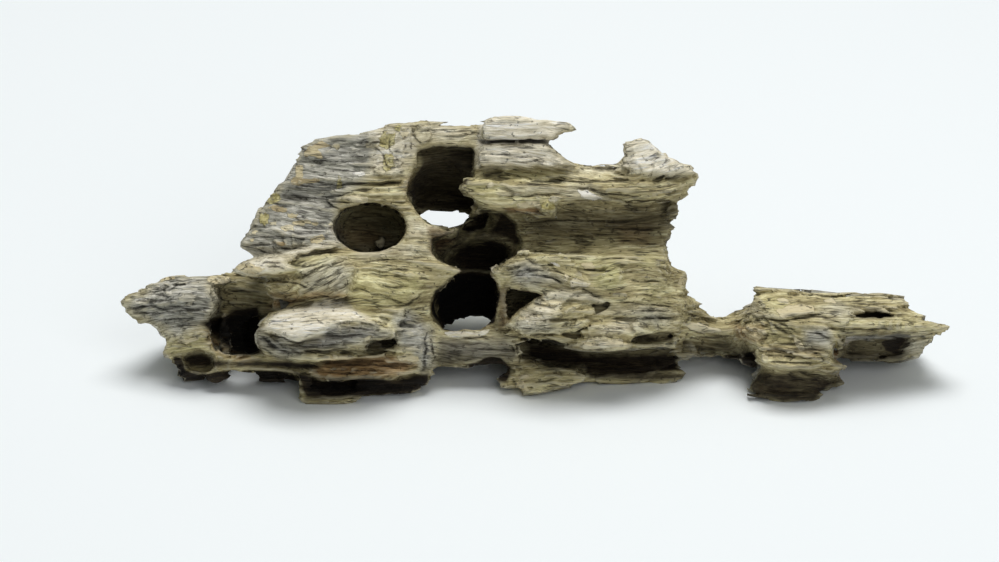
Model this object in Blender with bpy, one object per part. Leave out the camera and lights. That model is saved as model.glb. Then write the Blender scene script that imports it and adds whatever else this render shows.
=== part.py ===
"""Honeycomb wood: one weathered piece of driftwood, bored through by wide round tunnels."""
import math

import bmesh
import bpy
from mathutils import Vector

MM = 0.001

# Driving dimensions
FORM_VOXEL = 1.1 * MM
TUNNEL_SIDES = 24
MOSTLY_ACROSS = 0.7
SOFTEN_STEPS = 4
SOFTEN_FACTOR = 0.5
FORM_SHARE = 0.085
FLAT_WEAR = 0.5 * MM
FLOOR_BLOCK = 1000.0 * MM

# The form is laid out as it is seen from in front and a little above, in millimetres:
# across to the right, up the view, and depth away from the viewer
VIEW_TILT = math.radians(25.0)
VIEW_FAR = 1400.0 * MM
VIEW_ACROSS = -10.1
VIEW_UP = 34.2
VIEW_AIM = Vector((VIEW_ACROSS, 0.0, 25.8)) * MM
VIEW_LOOK = Vector((0.0, math.cos(VIEW_TILT), -math.sin(VIEW_TILT)))
VIEW_RISE = Vector((0.0, math.sin(VIEW_TILT), math.cos(VIEW_TILT)))
VIEW_EYE = VIEW_AIM - VIEW_LOOK * VIEW_FAR

# Cross-sections of the trunk from left to right: a ring of depth and height at each place along it
TRUNK = (
    (-80, ((2, 37), (-3, 37), (-4, 38), (2, 40), (9, 39), (12, 38), (11, 36), (6, 35))),
    (-70, ((-4, 30), (-7, 35), (-6, 41), (5, 51), (16, 48), (22, 42), (22, 32), (10, 27))),
    (-58, ((-10, 10), (-14, 22), (-9, 40), (11, 63), (21, 58), (31, 49), (31, 27), (14, 8))),
    (-46, ((-12, 8), (-15, 22), (-12, 40), (12, 65), (24, 59), (35, 48), (35, 23), (20, 2))),
    (-32, ((-12, 9), (-14, 22), (-11, 41), (13, 67), (25, 61), (36, 50), (36, 24), (22, 1))),
    (-18, ((-8, 12), (-13, 22), (-11, 42), (12, 67), (24, 61), (36, 50), (35, 26), (20, 4))),
    (-4, ((-6, 13), (-20, 22), (-14, 43), (8, 65), (22, 60), (34, 48), (34, 26), (20, 2))),
    (10, ((-6, 13), (-23, 22), (-15, 43), (7, 56), (19, 50), (31, 42), (33, 26), (19, 0))),
    (24, ((-6, 12), (-23, 20), (-15, 43), (7, 56), (18, 50), (29, 42), (30, 24), (18, 2))),
    (34, ((-4, 13), (-21, 18), (-14, 41), (2, 50), (14, 48), (23, 42), (24, 22), (14, 6))),
    (36.5, ((-3, 13), (-18, 18), (-12, 36), (1, 31), (10, 27), (18, 23), (18, 17), (11, 7))),
    (41, ((-2, 12), (-13, 18), (-9, 27), (0, 26), (9, 22), (15, 17), (15, 12), (8, 8))),
)


def seen(across, up, depth):
    """The point seen at across and up, on the upright plane that lies depth behind the middle."""
    aim = VIEW_AIM + Vector((across - VIEW_ACROSS, 0.0, 0.0)) * MM + VIEW_RISE * ((up - VIEW_UP) * MM)
    reach = (depth * MM - VIEW_EYE.y) / (aim.y - VIEW_EYE.y)
    return VIEW_EYE + (aim - VIEW_EYE) * reach


def add_block(form, corners):
    """Adds the convex solid around its corners."""
    block = bmesh.new()
    for corner in corners:
        block.verts.new(corner)
    hull = bmesh.ops.convex_hull(block, input=block.verts)
    inside = [item for item in hull["geom_interior"] if isinstance(item, bmesh.types.BMVert)]
    bmesh.ops.delete(block, geom=inside, context="VERTS")
    bmesh.ops.recalc_face_normals(block, faces=block.faces)
    mesh = bpy.data.meshes.new("block")
    block.to_mesh(mesh)
    block.free()
    form.from_mesh(mesh)
    bpy.data.meshes.remove(mesh)


def add_lobe(form, *corners):
    """Adds one lobe of wood, whose corners are given as seen."""
    add_block(form, [seen(*corner) for corner in corners])


def add_trunk(form):
    """Adds the trunk, one solid between each two of its cross-sections."""
    for (x_a, ring_a), (x_b, ring_b) in zip(TRUNK, TRUNK[1:]):
        corners = [Vector((x_a, y, z)) * MM for y, z in ring_a]
        corners += [Vector((x_b, y, z)) * MM for y, z in ring_b]
        add_block(form, corners)


def add_prism(form, near, far, shrink, *outline):
    """Adds the solid behind an outline, from depth near to far, each given at its foot and its head."""
    low = min(up for across, up in outline)
    high = max(up for across, up in outline)
    middle = sum(across for across, up in outline) / len(outline)
    centre = (low + high) / 2.0
    front = []
    back = []
    for across, up in outline:
        share = (up - low) / (high - low)
        front.append(form.verts.new(seen(across, up, near[0] + (near[1] - near[0]) * share)))
        across = middle + (across - middle) * shrink
        up = centre + (up - centre) * shrink
        back.append(form.verts.new(seen(across, up, far[0] + (far[1] - far[0]) * share)))
    faces = [form.faces.new(front), form.faces.new(back)]
    for i in range(len(outline)):
        n = (i + 1) % len(outline)
        faces.append(form.faces.new((front[i], front[n], back[n], back[i])))
    bmesh.ops.recalc_face_normals(form, faces=faces)
    bmesh.ops.triangulate(form, faces=faces[:2])


def add_slab(form):
    # Broad grey shoulder that leans back at the upper left
    add_prism(form, (-7, 12), (16, 38), 0.78,
              (-83.8, 44), (-81.5, 46.6), (-80, 48.6), (-79, 51), (-78.8, 53), (-77, 54.6),
              (-75.4, 56.5), (-74.5, 58.8), (-72.5, 59.6), (-71.2, 61), (-69.8, 62), (-68.8, 64.5),
              (-67.6, 66.5), (-67.2, 70.2), (-65, 72.2), (-60, 73.8), (-54, 74.8), (-50, 75.1),
              (-46, 76.4), (-40, 78.1), (-36, 78.8), (-35, 78.1), (-32, 79), (-28, 78.8), (-24, 78),
              (-20, 77.8), (-17, 78.6), (-13, 78.7), (-12, 60), (-18, 46), (-30, 40), (-60, 38),
              (-78, 40.5), (-81.5, 42.3), (-83.3, 43.2))


def add_left_end(form):
    # Blunt left tip, lying low
    add_lobe(form, (-115.7, 26.7, -8), (-114.5, 29.6, -6), (-109, 32.2, -3), (-104.5, 35.5, 0),
             (-95, 35.3, 2), (-87, 36.2, 2), (-90, 31, -11), (-90, 25, -14), (-98, 23, -14),
             (-108, 22.4, -10), (-113.5, 24.6, -7), (-106, 28, -12), (-98, 29, -14),
             (-110, 26, 4), (-100, 24, 14), (-88, 24, 16), (-88, 34, 10))
    add_lobe(form, (-106, 22, -11), (-105.3, 19.2, -12), (-103, 17.3, -14), (-92, 17, -19),
             (-90, 22, -15), (-98, 26, -13), (-106, 24, -10), (-104, 21, 2), (-92, 20, 8))
    # Lower left corner, where a shallow socket sits
    add_lobe(form, (-103.7, 13.8, -16), (-102.5, 16.8, -15), (-96, 17.5, -17), (-90, 16.4, -19),
             (-86, 13.5, -20), (-86, 10, -19), (-90, 8.6, -20), (-93, 7, -19), (-98.5, 7, -18),
             (-100, 9, -17), (-101.2, 11.5, -16), (-98, 12, 0), (-88, 12, 2))
    # Low rail that runs right from it
    add_lobe(form, (-90, 15.5, -20), (-84, 12.4, -21), (-78, 11.8, -22), (-66, 11.8, -22),
             (-62, 11, -20), (-62, 8, -20), (-66, 8.7, -21), (-74, 9.4, -21), (-86, 9.6, -20),
             (-91, 9, -19), (-84, 11, -11), (-66, 10, -11))
    # Two knuckles under the rail
    add_lobe(form, (-93, 8, -16), (-89.5, 5.7, -15), (-85.6, 7, -14), (-88, 9.5, -12), (-92, 10, -4),
             (-87, 10, -2))
    add_lobe(form, (-79, 9, -13), (-77.5, 6, -13), (-74, 5.2, -13), (-70, 6.3, -13), (-65, 8, -14),
             (-65, 5.5, -15), (-78, 10, 0), (-66, 10, 0))
    # Wall behind the lower left tunnel, down to the floor
    add_block(form, [Vector(corner) * MM for corner in (
        (-95, 8, 22), (-90, 2, 24), (-70, 0, 26), (-64, 4, 30), (-64, 26, 24), (-80, 22, 21),
        (-92, 14, 18), (-93, 6, 5), (-89, 13, 2), (-78, 20, 6), (-66, 26, 12), (-66, 20, 4),
        (-74, 15, -1), (-87, 10, -1), (-90, 4, -1), (-72, 4, -1))])
    add_lobe(form, (-74, 31, -6), (-60, 33, -8), (-60, 24, -8), (-72, 24, -6), (-72, 30, 6),
             (-60, 34, 8), (-62, 20, 6), (-72, 20, 4))


def add_left_lobes(form):
    # Long upper shoulder with a pale ledge along its top
    add_lobe(form, (-85, 36.6, -12), (-84.5, 38.3, -10), (-80, 40, -8), (-72, 41.2, -8),
             (-68, 43, -8), (-67, 35.6, -21), (-78, 35.4, -18), (-82, 35.8, -15), (-74, 39, -18),
             (-80, 37, 2), (-68, 38, 2))
    add_lobe(form, (-76, 34, -12), (-74, 28.2, -14), (-66, 28.8, -20), (-54, 29.6, -21),
             (-51.5, 31, -18), (-50, 36, -16), (-51.5, 40, -13), (-55, 44, -9), (-61, 44.8, -7),
             (-69, 42.5, -8), (-66, 36, -21), (-57, 37, -21), (-74, 31, 0), (-54, 34, 0))
    # Bleached lobe below it
    add_lobe(form, (-79, 19.6, -24), (-74, 20, -29), (-70, 17.8, -32), (-65, 17.4, -33),
             (-60, 19.4, -33), (-54, 22, -32), (-47, 21.8, -30), (-39, 18.7, -26),
             (-75, 25.5, -18), (-68, 27, -16), (-60, 28.8, -15), (-54, 28.6, -15),
             (-50, 26, -16), (-45, 21.5, -20), (-78, 15.2, -24), (-75, 13.6, -27),
             (-68, 11.8, -30), (-62, 11.8, -31), (-52, 13, -30), (-42, 14, -27),
             (-74, 14, -12), (-48, 14, -12))
    # Orange lobe, undercut, and the dark foot beneath it
    add_lobe(form, (-66, 8.6, -22), (-62, 7.8, -26), (-59, 6, -28), (-52, 6.8, -28),
             (-46, 7.2, -27), (-41, 6.7, -26), (-36, 8, -24), (-31, 9.8, -21), (-31.5, 14, -20),
             (-36, 16, -20), (-41, 14, -22), (-60, 12, -23), (-66, 10.5, -20), (-60, 10, -8),
             (-36, 12, -8))
    add_lobe(form, (-66, 8.5, -17), (-65.5, 4, -20), (-66.2, 1.2, -24), (-63, 0, -26),
             (-57, -0.3, -26.5), (-51, 0.2, -25), (-47.5, 2.6, -21), (-40, 3, -18),
             (-31, 5.6, -13), (-62, 9, -8), (-38, 9, -8), (-62, 6, -8), (-38, 6, -8))
    # Small grey lobe at its right
    add_lobe(form, (-39, 23, -18), (-36, 26.5, -16), (-31, 22.5, -14), (-27, 20.5, -14),
             (-26, 18, -15), (-27, 12, -17), (-29, 9, -18), (-30.5, 7.4, -19), (-34, 7.6, -20),
             (-38, 12, -21), (-39.5, 18, -21), (-36, 18, -22), (-33, 14, -22), (-36, 20, -6),
             (-28, 18, -6), (-30, 10, -8))
    # Smooth pitted face between the two tunnels
    add_lobe(form, (-52.5, 31, -17), (-50, 36.5, -15), (-45, 38.5, -14), (-36, 39.5, -13),
             (-28, 38.5, -13), (-29, 32.5, -15), (-35, 28, -17), (-37.5, 25.5, -18),
             (-41, 22.5, -20), (-46, 22, -21), (-50, 26.5, -19), (-44, 32, -19),
             (-50, 34, -4), (-30, 36, -4), (-40, 24, -8))


def add_middle_lobes(form):
    # Left spur, pointing across the tunnel mouth
    add_lobe(form, (-20.7, 37.1, -14), (-21.5, 37.9, -13), (-21.7, 36.4, -14), (-27, 39, -12),
             (-29.5, 41, -10), (-30, 32, -13), (-26, 34.3, -14), (-30, 38, -15), (-31, 38, -5),
             (-28, 36, -5))
    # Low bar across the bottom of the tunnel mouth
    add_lobe(form, (-30, 20, -13), (-26, 20, -14), (-20, 20.2, -15), (-12, 20.6, -15),
             (-5, 20.2, -16), (-4, 16, -18), (-4, 11, -17), (-9, 12, -15), (-13, 13.5, -14),
             (-20, 11.2, -15), (-27, 9.8, -16), (-29, 12, -17), (-28, 18, -4), (-5, 18, -4),
             (-28, 12, -5), (-6, 13, -5))
    # Claw that reaches down to the left
    add_lobe(form, (-10.1, 5.6, -18), (-9, 7.6, -17), (-5.5, 9.5, -17), (-3, 11.5, -15),
             (-2, 14, -14), (4, 10.3, -17), (2, 4, -20), (-2.5, 2.6, -19.5), (-5, 4, -19.5),
             (-8, 5.2, -18.5), (-2, 8, -22), (-4, 10, -8), (2, 8, -8))
    add_lobe(form, (2, 10.3, -17), (10.5, 9.3, -17), (13.8, 7.2, -17), (12, 6, -17.5),
             (8, 5, -19), (1, 3.2, -20), (0, 8, -22), (8, 7.5, -20), (2, 8, -6), (12, 8, -8))
    # Thin shelf along the bottom
    add_lobe(form, (12, 7.6, -16), (20, 8, -16), (27, 8.6, -15), (36, 9.6, -12), (40, 9.5, -10),
             (42.4, 7.6, -11), (42, 6.6, -13), (39, 5.0, -14), (30, 4.9, -15), (20, 5.7, -16),
             (13, 6, -17), (4, 9, -12), (4, 8, -8), (14, 10, 4), (38, 10, 4), (41, 9, 0))
    # Solid wood behind the low tunnel
    add_block(form, [Vector(corner) * MM for corner in (
        (-6, -7, 14), (-6, -6, 1.5), (37, -7, 1.5), (37, -6, 16), (30, 12, 4), (2, 12, 4),
        (32, 14, 16), (0, 14, 16))])
    # Pale lobe below the right spur, and the lip under it
    add_lobe(form, (-8.3, 21.5, -20), (-6, 24.3, -20), (-3, 27.2, -19), (1, 29.6, -19),
             (6, 31.3, -18), (13, 31.8, -17), (19.5, 27.9, -20), (16, 25, -24), (14, 22, -26),
             (9, 20.4, -27), (7, 19.6, -27), (-2.8, 19.4, -24), (-6, 20.7, -22), (4, 24, -28),
             (10, 26, -27), (-4, 22, -10), (12, 24, -8))
    add_lobe(form, (-4.6, 18.6, -20), (5, 18.2, -23), (10, 16, -25), (14, 15, -26),
             (19, 14.4, -26), (25, 15, -26), (27.2, 16, -25), (27, 18.5, -24), (18, 22, -25),
             (8, 20.5, -22), (0, 19, -8), (26, 18, -8), (14, 16, -8))
    # Right spur
    add_lobe(form, (-13, 36.6, -14), (-12.6, 37.2, -13), (-10, 38, -13), (-7, 39.9, -12),
             (-4, 43.4, -10), (2, 44, -12), (4, 33, -20), (-3, 32.4, -19), (-8, 33.6, -17),
             (-12.4, 36.1, -14), (0, 38, -20), (-3, 38, -4), (2, 42, -4))
    # Right side of the lower body
    add_lobe(form, (28, 18.6, -23), (30, 19.6, -23), (39, 20, -20), (40.7, 21.6, -19),
             (41, 25, -17), (41.5, 32, -12), (36, 39.5, -10), (30, 33, -18), (27, 25, -24),
             (40, 28, 6), (30, 24, -6), (36, 36, 6))
    add_lobe(form, (39, 20.5, -19), (41.5, 20, -17), (41.3, 17, -17), (40, 15, -17),
             (38.6, 14, -17), (38.4, 17, -19), (38, 17, -8), (41, 15, -8))
    # Stub and ragged slope at the right
    add_lobe(form, (38, 38, -9), (40, 36.4, -9), (43.2, 36.1, -9), (43.2, 34.3, -9),
             (42.4, 32.4, -9), (40.5, 31.8, -10), (39.5, 33, -12), (42, 36, -5), (37, 35, 0))
    add_lobe(form, (41, 32.2, -8), (42.6, 30, -7), (44.7, 28.4, -6), (45.6, 27, -6),
             (47, 25.5, -5), (48.9, 23.9, -4), (48, 21.5, -8), (42, 21.5, -13), (40, 26, -15),
             (38, 31, -14), (38, 29, 10), (44, 23, 10))


def add_top_lobes(form):
    # Stacked ledges at the top, between the open tunnel and the broken one
    add_lobe(form, (-14, 74.3, 4), (-14, 79, 8), (-12, 80.1, 10), (-8, 80.4, 11), (-3, 79.8, 11),
             (1, 78.7, 10), (9, 78.1, 8), (10.3, 76.6, 7), (7, 75.8, 5), (4, 74, 4), (-4, 74.3, 2),
             (-8, 77, 4), (-12, 76, 22), (4, 74, 20))
    add_lobe(form, (-16, 67.2, 1), (-8, 67.2, -1), (0, 66.3, -1), (10, 66.4, 2), (11.8, 66.6, 4),
             (8.5, 68.4, 4), (5.5, 70, 5), (4.2, 72.4, 5), (-4, 73.2, 4), (-14, 73.2, 4),
             (-15.5, 70, 2), (-14, 68, 18), (6, 66, 18))
    add_lobe(form, (-18.5, 62.6, -3), (-20.8, 61, -4), (-20.8, 59.2, -4), (-17, 57.2, -5),
             (-13, 55.7, -6), (-8, 55.4, -7), (0, 54.8, -8), (6, 56.4, -8), (6, 61, -5),
             (-4, 63, -3), (-12, 62.6, -3), (-16, 58, 14), (4, 58, 14))
    # Long lip over the side tunnel
    add_lobe(form, (6, 56.6, -7), (14, 57.4, -7), (26, 57.8, -7), (38, 57.5, -5), (40.3, 56.5, -2),
             (41, 59, -2), (43, 61.2, -1), (44.8, 63, 0), (40, 63, -1), (30, 62.5, -3), (6, 62, -2),
             (12, 66, 6), (24, 66, 6), (42, 58, 12), (10, 58, 14))
    # Pale peak and the tip at the upper right
    add_lobe(form, (25, 72.3, 6), (27, 72.8, 6), (29, 73.8, 6), (31, 73.4, 6), (32, 72, 5),
             (34, 70.3, 4), (37, 68.6, 2), (33, 64, -3), (26, 64, -3), (24.6, 67.5, 4),
             (25.6, 70.5, 6), (26, 66, 18), (30, 68, 18), (36, 62, 12))
    add_lobe(form, (34, 69.5, 3), (37, 68.6, 2), (39, 66.8, 1), (42, 66.4, 0), (44, 65.5, 0),
             (45.6, 64.2, 0), (44.6, 63.4, 0), (32, 64, -4), (30, 67, 0), (34, 64, 14), (42, 62, 12))
    # Ragged right-hand wall of the side tunnel
    add_lobe(form, (39.5, 57, 3), (39.3, 53.6, 4), (38.4, 52, 4), (37.6, 48.5, 3), (35.8, 44, 0),
             (35.6, 40.5, -5), (28, 40, -8), (28, 56, 4), (38, 50, 16), (28, 44, 18))


def add_right_end(form):
    # Bridge to the right-hand knob
    add_lobe(form, (38, 22, -12), (42, 22.6, -12), (50, 20.5, -10), (54, 20.2, -10),
             (54, 13, -7), (50, 14, -6), (44, 13.8, -6), (38.5, 14.3, -8), (49, 23.5, 0),
             (54, 23.8, 2), (44, 22, 8), (54, 20, 10), (44, 16, 8), (54, 14, 8))
    add_lobe(form, (52, 20.3, -10), (57, 20, -12), (63, 20, -16), (63, 12, -16), (57, 12.6, -9),
             (52, 13.4, -7), (52, 23.4, 1), (58, 25, 2), (62, 28, 2), (62, 22, 12), (52, 20, 10),
             (62, 14, 10), (52, 14, 8))
    # Knob: front face and top
    add_lobe(form, (62.3, 31.9, -8), (63, 30.5, -10), (60, 27, -12), (59.5, 23.5, -14),
             (57, 20, -15), (61, 17, -20), (62, 13, -24), (63.5, 10.6, -26), (68, 9, -28),
             (75, 9.4, -28), (82, 9.8, -27), (83, 14, -27), (82, 19, -26), (80, 24, -22),
             (66, 24, -22), (66, 31.9, -8), (75, 31.4, -7), (82, 31, -7), (62, 26, 12),
             (80, 26, 14), (64, 12, 10), (80, 12, 12))
    # Long right tip of the knob, hollow beneath
    add_lobe(form, (78, 31, -7), (92, 30.3, -6), (97, 30, -6), (103, 28.7, -7), (107, 25, -9),
             (111, 22.2, -11), (115.5, 20.5, -13), (113.5, 19.3, -14), (104, 20.4, -20),
             (92, 19.8, -24), (86.5, 17.5, -26), (82, 22, -24), (88, 24, -22), (100, 23.5, -18),
             (80, 24, 14), (98, 22, 12), (108, 20, 4))
    add_lobe(form, (112, 20, -7), (109.8, 15.5, -8), (108, 13.8, -8), (102.5, 12.6, -8),
             (102, 11.6, -8), (96, 12.2, -9), (91, 13, -9), (86, 12.2, -11), (84, 14, -14),
             (86, 20, -12), (108, 21, -10), (108, 18, 6), (90, 16, 12), (100, 14, 6))
    add_lobe(form, (80, 19, -26), (85, 17.5, -26), (87.8, 19.6, -25), (84.5, 14.5, -22),
             (82, 14, -26), (82, 16, -14))
    # Foot of the knob
    add_lobe(form, (62.5, 10, -20), (60, 5.2, -22), (58.7, 2.4, -23), (60, 1.3, -25),
             (66, 0.3, -26), (72, -0.3, -26.5), (76, -0.3, -26), (79.5, 0.8, -24), (81.5, 3, -22),
             (82, 10, -24), (68, 9, -26), (62, 8, 4), (80, 8, 6), (64, 4, 0), (78, 4, 2))
    add_lobe(form, (78, 2.6, -22), (84, 4, -22), (86.6, 4.6, -21), (87.4, 6, -20), (85, 8, -20),
             (80, 9, -24), (80, 6, -8), (84, 8, -8))
    add_lobe(form, (80, 9.5, -26), (86, 8.8, -22), (87, 10, -21), (84, 13.5, -22), (81, 14, -26),
             (83, 12, -10))


def add_back(form):
    # The side that faces away: long lobes along the grain, and its feet
    for corners in (
        ((-76, 22, 40), (-66, 31, 47), (-46, 40, 45), (-26, 41, 46), (-18, 38, 37), (-40, 41.5, 31),
         (-66, 32, 32), (-72, 12, 36), (-30, 16, 38)),
        ((-66, 28, 25), (-52, 37, 27), (-34, 41, 23), (-24, 37, 13), (-40, 37, 9), (-60, 27, 14),
         (-40, 14, 16)),
        ((-50, 14, 6), (-46, 28, 8), (-33, 30, 8), (-29, 20, 0), (-35, 26, -1), (-46, 22, -1),
         (-38, 12, 4)),
        ((-16, 34, 58), (-4, 38, 54), (8, 38, 50), (26, 33, 42), (34, 24, 38), (20, 36, 34),
         (-4, 39, 38), (10, 16, 44)),
        ((-4, 33, 28), (10, 38, 28), (28, 33, 24), (36, 20, 14), (18, 33, 12), (0, 31, 14),
         (16, 14, 18)),
        ((6, 12, 6), (8, 27, 10), (24, 27, 10), (30, 16, 4), (25, 22, -1), (8, 22, -1), (16, 8, 4)),
        ((54, 2, 12), (58, 14, 8.5), (66, 22, 11), (80, 24, 9), (96, 17, 10), (98, 8, 14),
         (88, 20, 5), (66, 18, 5), (72, 2, 16), (90, 4, 15)),
        ((64, 0, 8), (66, 15, 8), (82, 18, 8), (84, 6, 6), (80, 14, -1), (68, 12, -1), (70, -2, 2),
         (80, -2, 2)),
    ):
        add_block(form, [Vector(corner) * MM for corner in corners])


def add_tube(form, path):
    """Adds a closed tube along stops of (centre, half width, half height)."""
    rings = []
    for i, (centre, wide, high) in enumerate(path):
        ahead = path[min(i + 1, len(path) - 1)][0] - path[max(i - 1, 0)][0]
        ahead.normalize()
        side = Vector((1.0, 0.0, 0.0))
        if abs(ahead.x) > MOSTLY_ACROSS:
            side = Vector((0.0, 1.0, 0.0))
        side = (side - ahead * side.dot(ahead)).normalized()
        rise = side.cross(ahead)
        ring = []
        for k in range(TUNNEL_SIDES):
            turn = 2.0 * math.pi * k / TUNNEL_SIDES
            reach = side * (wide * math.cos(turn)) + rise * (high * math.sin(turn))
            ring.append(form.verts.new(centre + reach * MM))
        rings.append(ring)
    faces = [form.faces.new(rings[0]), form.faces.new(rings[-1])]
    for ring_a, ring_b in zip(rings, rings[1:]):
        for k in range(TUNNEL_SIDES):
            n = (k + 1) % TUNNEL_SIDES
            faces.append(form.faces.new((ring_a[k], ring_a[n], ring_b[n], ring_b[k])))
    bmesh.ops.recalc_face_normals(form, faces=faces)


def bore(form, *stops):
    """Bores a tunnel through stops of (across, up, depth, half width, half height), as seen."""
    add_tube(form, [(seen(x, u, y), wide, high) for x, u, y, wide, high in stops])


def bore_behind(form, *stops):
    """Bores a tunnel through stops of (x, y, z, half width, half height)."""
    add_tube(form, [(Vector((x, y, z)) * MM, wide, high) for x, y, z, wide, high in stops])


def bore_tunnels(form):
    # Blind tunnel with an oval mouth in the left shoulder
    bore(form, (-46.6, 49.2, -34, 10.4, 6.9), (-46.6, 49.2, -2, 10.4, 6.9),
         (-46, 48.8, 4, 10.4, 8.8), (-45.4, 46.8, 11, 10, 8.8), (-45, 45.6, 15, 7.6, 6.8))
    # Tall open mouth at the top
    add_prism(form, (-34, -34), (4, 8), 1.0,
              (-35, 70.8), (-32, 71.6), (-28.5, 72.8), (-24, 72.3), (-20, 72), (-16.6, 71.4),
              (-16, 69.5), (-16.6, 66.5), (-17.3, 64), (-18.5, 62.4), (-20.6, 61), (-20.8, 59.2),
              (-17.5, 57.2), (-15, 55.6), (-15.6, 54), (-18, 51.8), (-20.5, 50.6), (-24, 49.6),
              (-28, 50), (-31, 51), (-33, 53.2), (-34, 55.8), (-36.8, 57.8), (-36.3, 60.5),
              (-35, 63.5), (-33.5, 66.5), (-33, 69))
    bore(form, (-26, 61, -2, 9.4, 10), (-26, 60, 8, 10, 10.6), (-26, 57.4, 17, 10, 8.2),
         (-25.5, 54, 25, 9.8, 5.8), (-25, 49.6, 34, 9.8, 5), (-25, 44, 50, 9.8, 5.6))
    # Dark middle mouth
    add_prism(form, (-34, -34), (2, 4), 1.0,
              (-29, 46.2), (-26, 46.4), (-23.5, 46.4), (-20, 47.2), (-16, 49.6), (-14, 52),
              (-12, 52.6), (-9, 52), (-6, 50.5), (-4.3, 47.5), (-3.8, 44), (-5, 41.6), (-8, 39.4),
              (-10.5, 37.8), (-13, 36.8), (-20.7, 37.2), (-23, 38), (-26.5, 38.9), (-28.6, 41.2),
              (-29, 44))
    bore(form, (-16, 42, -6, 10, 5), (-16, 40.5, 4, 10.4, 5.6), (-15, 37.5, 14, 9.6, 6.6),
         (-14.5, 36, 17, 7.6, 5.4), (-14, 35, 20, 4, 3))
    # The edge between the two mouths is worn back
    bore(form, (-23, 50, -34, 5, 3.6), (-23, 50, -6, 4.6, 3.2), (-23, 50, -2, 3.4, 2))
    # Side tunnel running on to the right, broken open along its front
    bore_behind(form, (-22, 6, 38, 6, 6), (-12, -1, 42, 7.5, 7.5), (0, -7, 44.5, 8, 7.6),
                (16, -9, 45.5, 8.4, 7.4), (30, -9, 45.5, 8.6, 7.8), (46, -9, 45.5, 9, 8))
    # Lower mouth, open to the floor behind
    add_prism(form, (-36, -36), (0, 0), 1.0,
              (-20.9, 37.4), (-24, 34.8), (-27, 32.6), (-28.8, 30.5), (-29.6, 27.5), (-29.4, 24.5),
              (-28.2, 22.4), (-25.8, 20.6), (-20, 20.3), (-14.5, 20.6), (-11.6, 22.6),
              (-10.8, 25.5), (-10.4, 29), (-9.6, 31.5), (-9.6, 33.8), (-12.8, 36.9))
    bore(form, (-19.5, 28.5, -8, 9.4, 7.6), (-19, 28, 2, 9.6, 8), (-18.5, 23, 14, 9.6, 7.6),
         (-18, 17.5, 24, 9.6, 7.4), (-18, 10, 40, 9.6, 7.4))
    # The two meet behind the spurs
    bore(form, (-16.8, 36.5, -8, 3.4, 3), (-16.8, 35.5, 4, 5.6, 4.6), (-16.6, 33, 12, 5.4, 4.4),
         (-16.4, 30, 18, 4, 3.4))
    # Pocket beside it
    add_prism(form, (-30, -30), (-6, -6), 0.8,
              (-7, 33.2), (-3, 32.2), (2.6, 30.4), (-1, 28.6), (-4, 26.2), (-5.5, 24), (-7, 23.2),
              (-7.6, 28))
    # Lower left tunnel under an overhang, running back to the right behind the bleached lobe
    add_prism(form, (-36, -36), (-8, -2), 0.8,
              (-93, 22.2), (-91, 24.3), (-91, 26.2), (-89, 28), (-88.8, 29.6), (-91.3, 31),
              (-90.2, 32.8), (-86, 33.8), (-80, 33), (-76, 30), (-74.3, 27), (-74.5, 24), (-77, 21.5),
              (-78.9, 19.6), (-78, 16), (-76.8, 14.4), (-79, 12.8), (-82, 13.5), (-87, 16.5),
              (-92, 20))
    bore(form, (-84.8, 19.2, -20, 7.2, 5.8), (-84.4, 19.2, -6, 7.4, 6), (-79, 20, 4, 7.4, 6.6),
         (-66, 22, 10, 7.6, 7), (-58, 24, 20, 7.8, 7), (-53, 25, 32, 7.8, 7), (-50, 26, 46, 7.8, 7))
    # Small socket in the lower left corner
    bore(form, (-94.6, 11.4, -24, 4.6, 3), (-94.4, 11.6, -16, 4.4, 2.8), (-94, 12, -13, 3, 2))
    # Broken tunnel at the top right, open to the sky
    bore(form, (14.6, 71.8, -24, 10.4, 5.8), (14.6, 71.8, 8, 10.4, 5.8), (14.6, 70, 40, 10.4, 5.8))
    # Low tunnel along the bottom at the right
    bore_behind(form, (-7, -10, 12, 2.5, 3), (0, -16, 12.5, 4, 4.2), (12, -18, 12.4, 5.6, 4.6),
                (26, -17, 12.4, 6.2, 4.8), (36, -16, 12.4, 6.4, 5), (50, -14, 12, 6.4, 5))
    # Slot in the top of the knob, and the hollow under its tip
    bore(form, (94.6, 24.8, -30, 6.6, 1.4), (94.6, 24.8, -14, 6.4, 1.4), (94, 24, -8, 4, 1.2))
    bore_behind(form, (86, -22, 9, 5, 5), (94, -20, 11, 6, 5), (104, -18, 12, 5, 4.4),
                (112, -17, 13, 4, 4))


def bore_back(form):
    # Blind tunnels and a broken one on the side that faces away
    bore_behind(form, (-66, 48, 50, 8.6, 7.6), (-60, 34, 43, 8.4, 7.4), (-56, 27, 39.5, 7.4, 6.6),
                (-54.5, 24, 38.5, 4, 3.6))
    bore_behind(form, (24, 50, 30, 8.6, 7.8), (17, 34, 32, 8.4, 7.6), (11, 22, 34.5, 7.6, 7),
                (8, 17, 35.5, 4, 4))
    bore_behind(form, (-90, 38, 21, 7, 6), (-66, 37, 20.5, 7, 6), (-46, 41, 19, 7, 6),
                (-26, 42, 17, 7, 6), (-10, 38, 15, 7, 6))
    bore_behind(form, (88, 34, 13, 5.4, 4.6), (82, 22, 12, 5.2, 4.4), (75, 11, 11.5, 4.6, 4),
                (72, 7, 11.5, 2.4, 2.2))
    bore_behind(form, (-108, 24, 15, 4.6, 4), (-101, 14, 17, 4.4, 4), (-95, 5, 18, 3.6, 3.4))


def rough_form(name, steps):
    """An object that holds all the solids its steps add, still overlapping."""
    mesh = bpy.data.meshes.new(name)
    form = bmesh.new()
    for step in steps:
        step(form)
    form.to_mesh(mesh)
    form.free()
    wood = bpy.data.objects.new(name, mesh)
    bpy.context.collection.objects.link(wood)
    return wood


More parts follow.
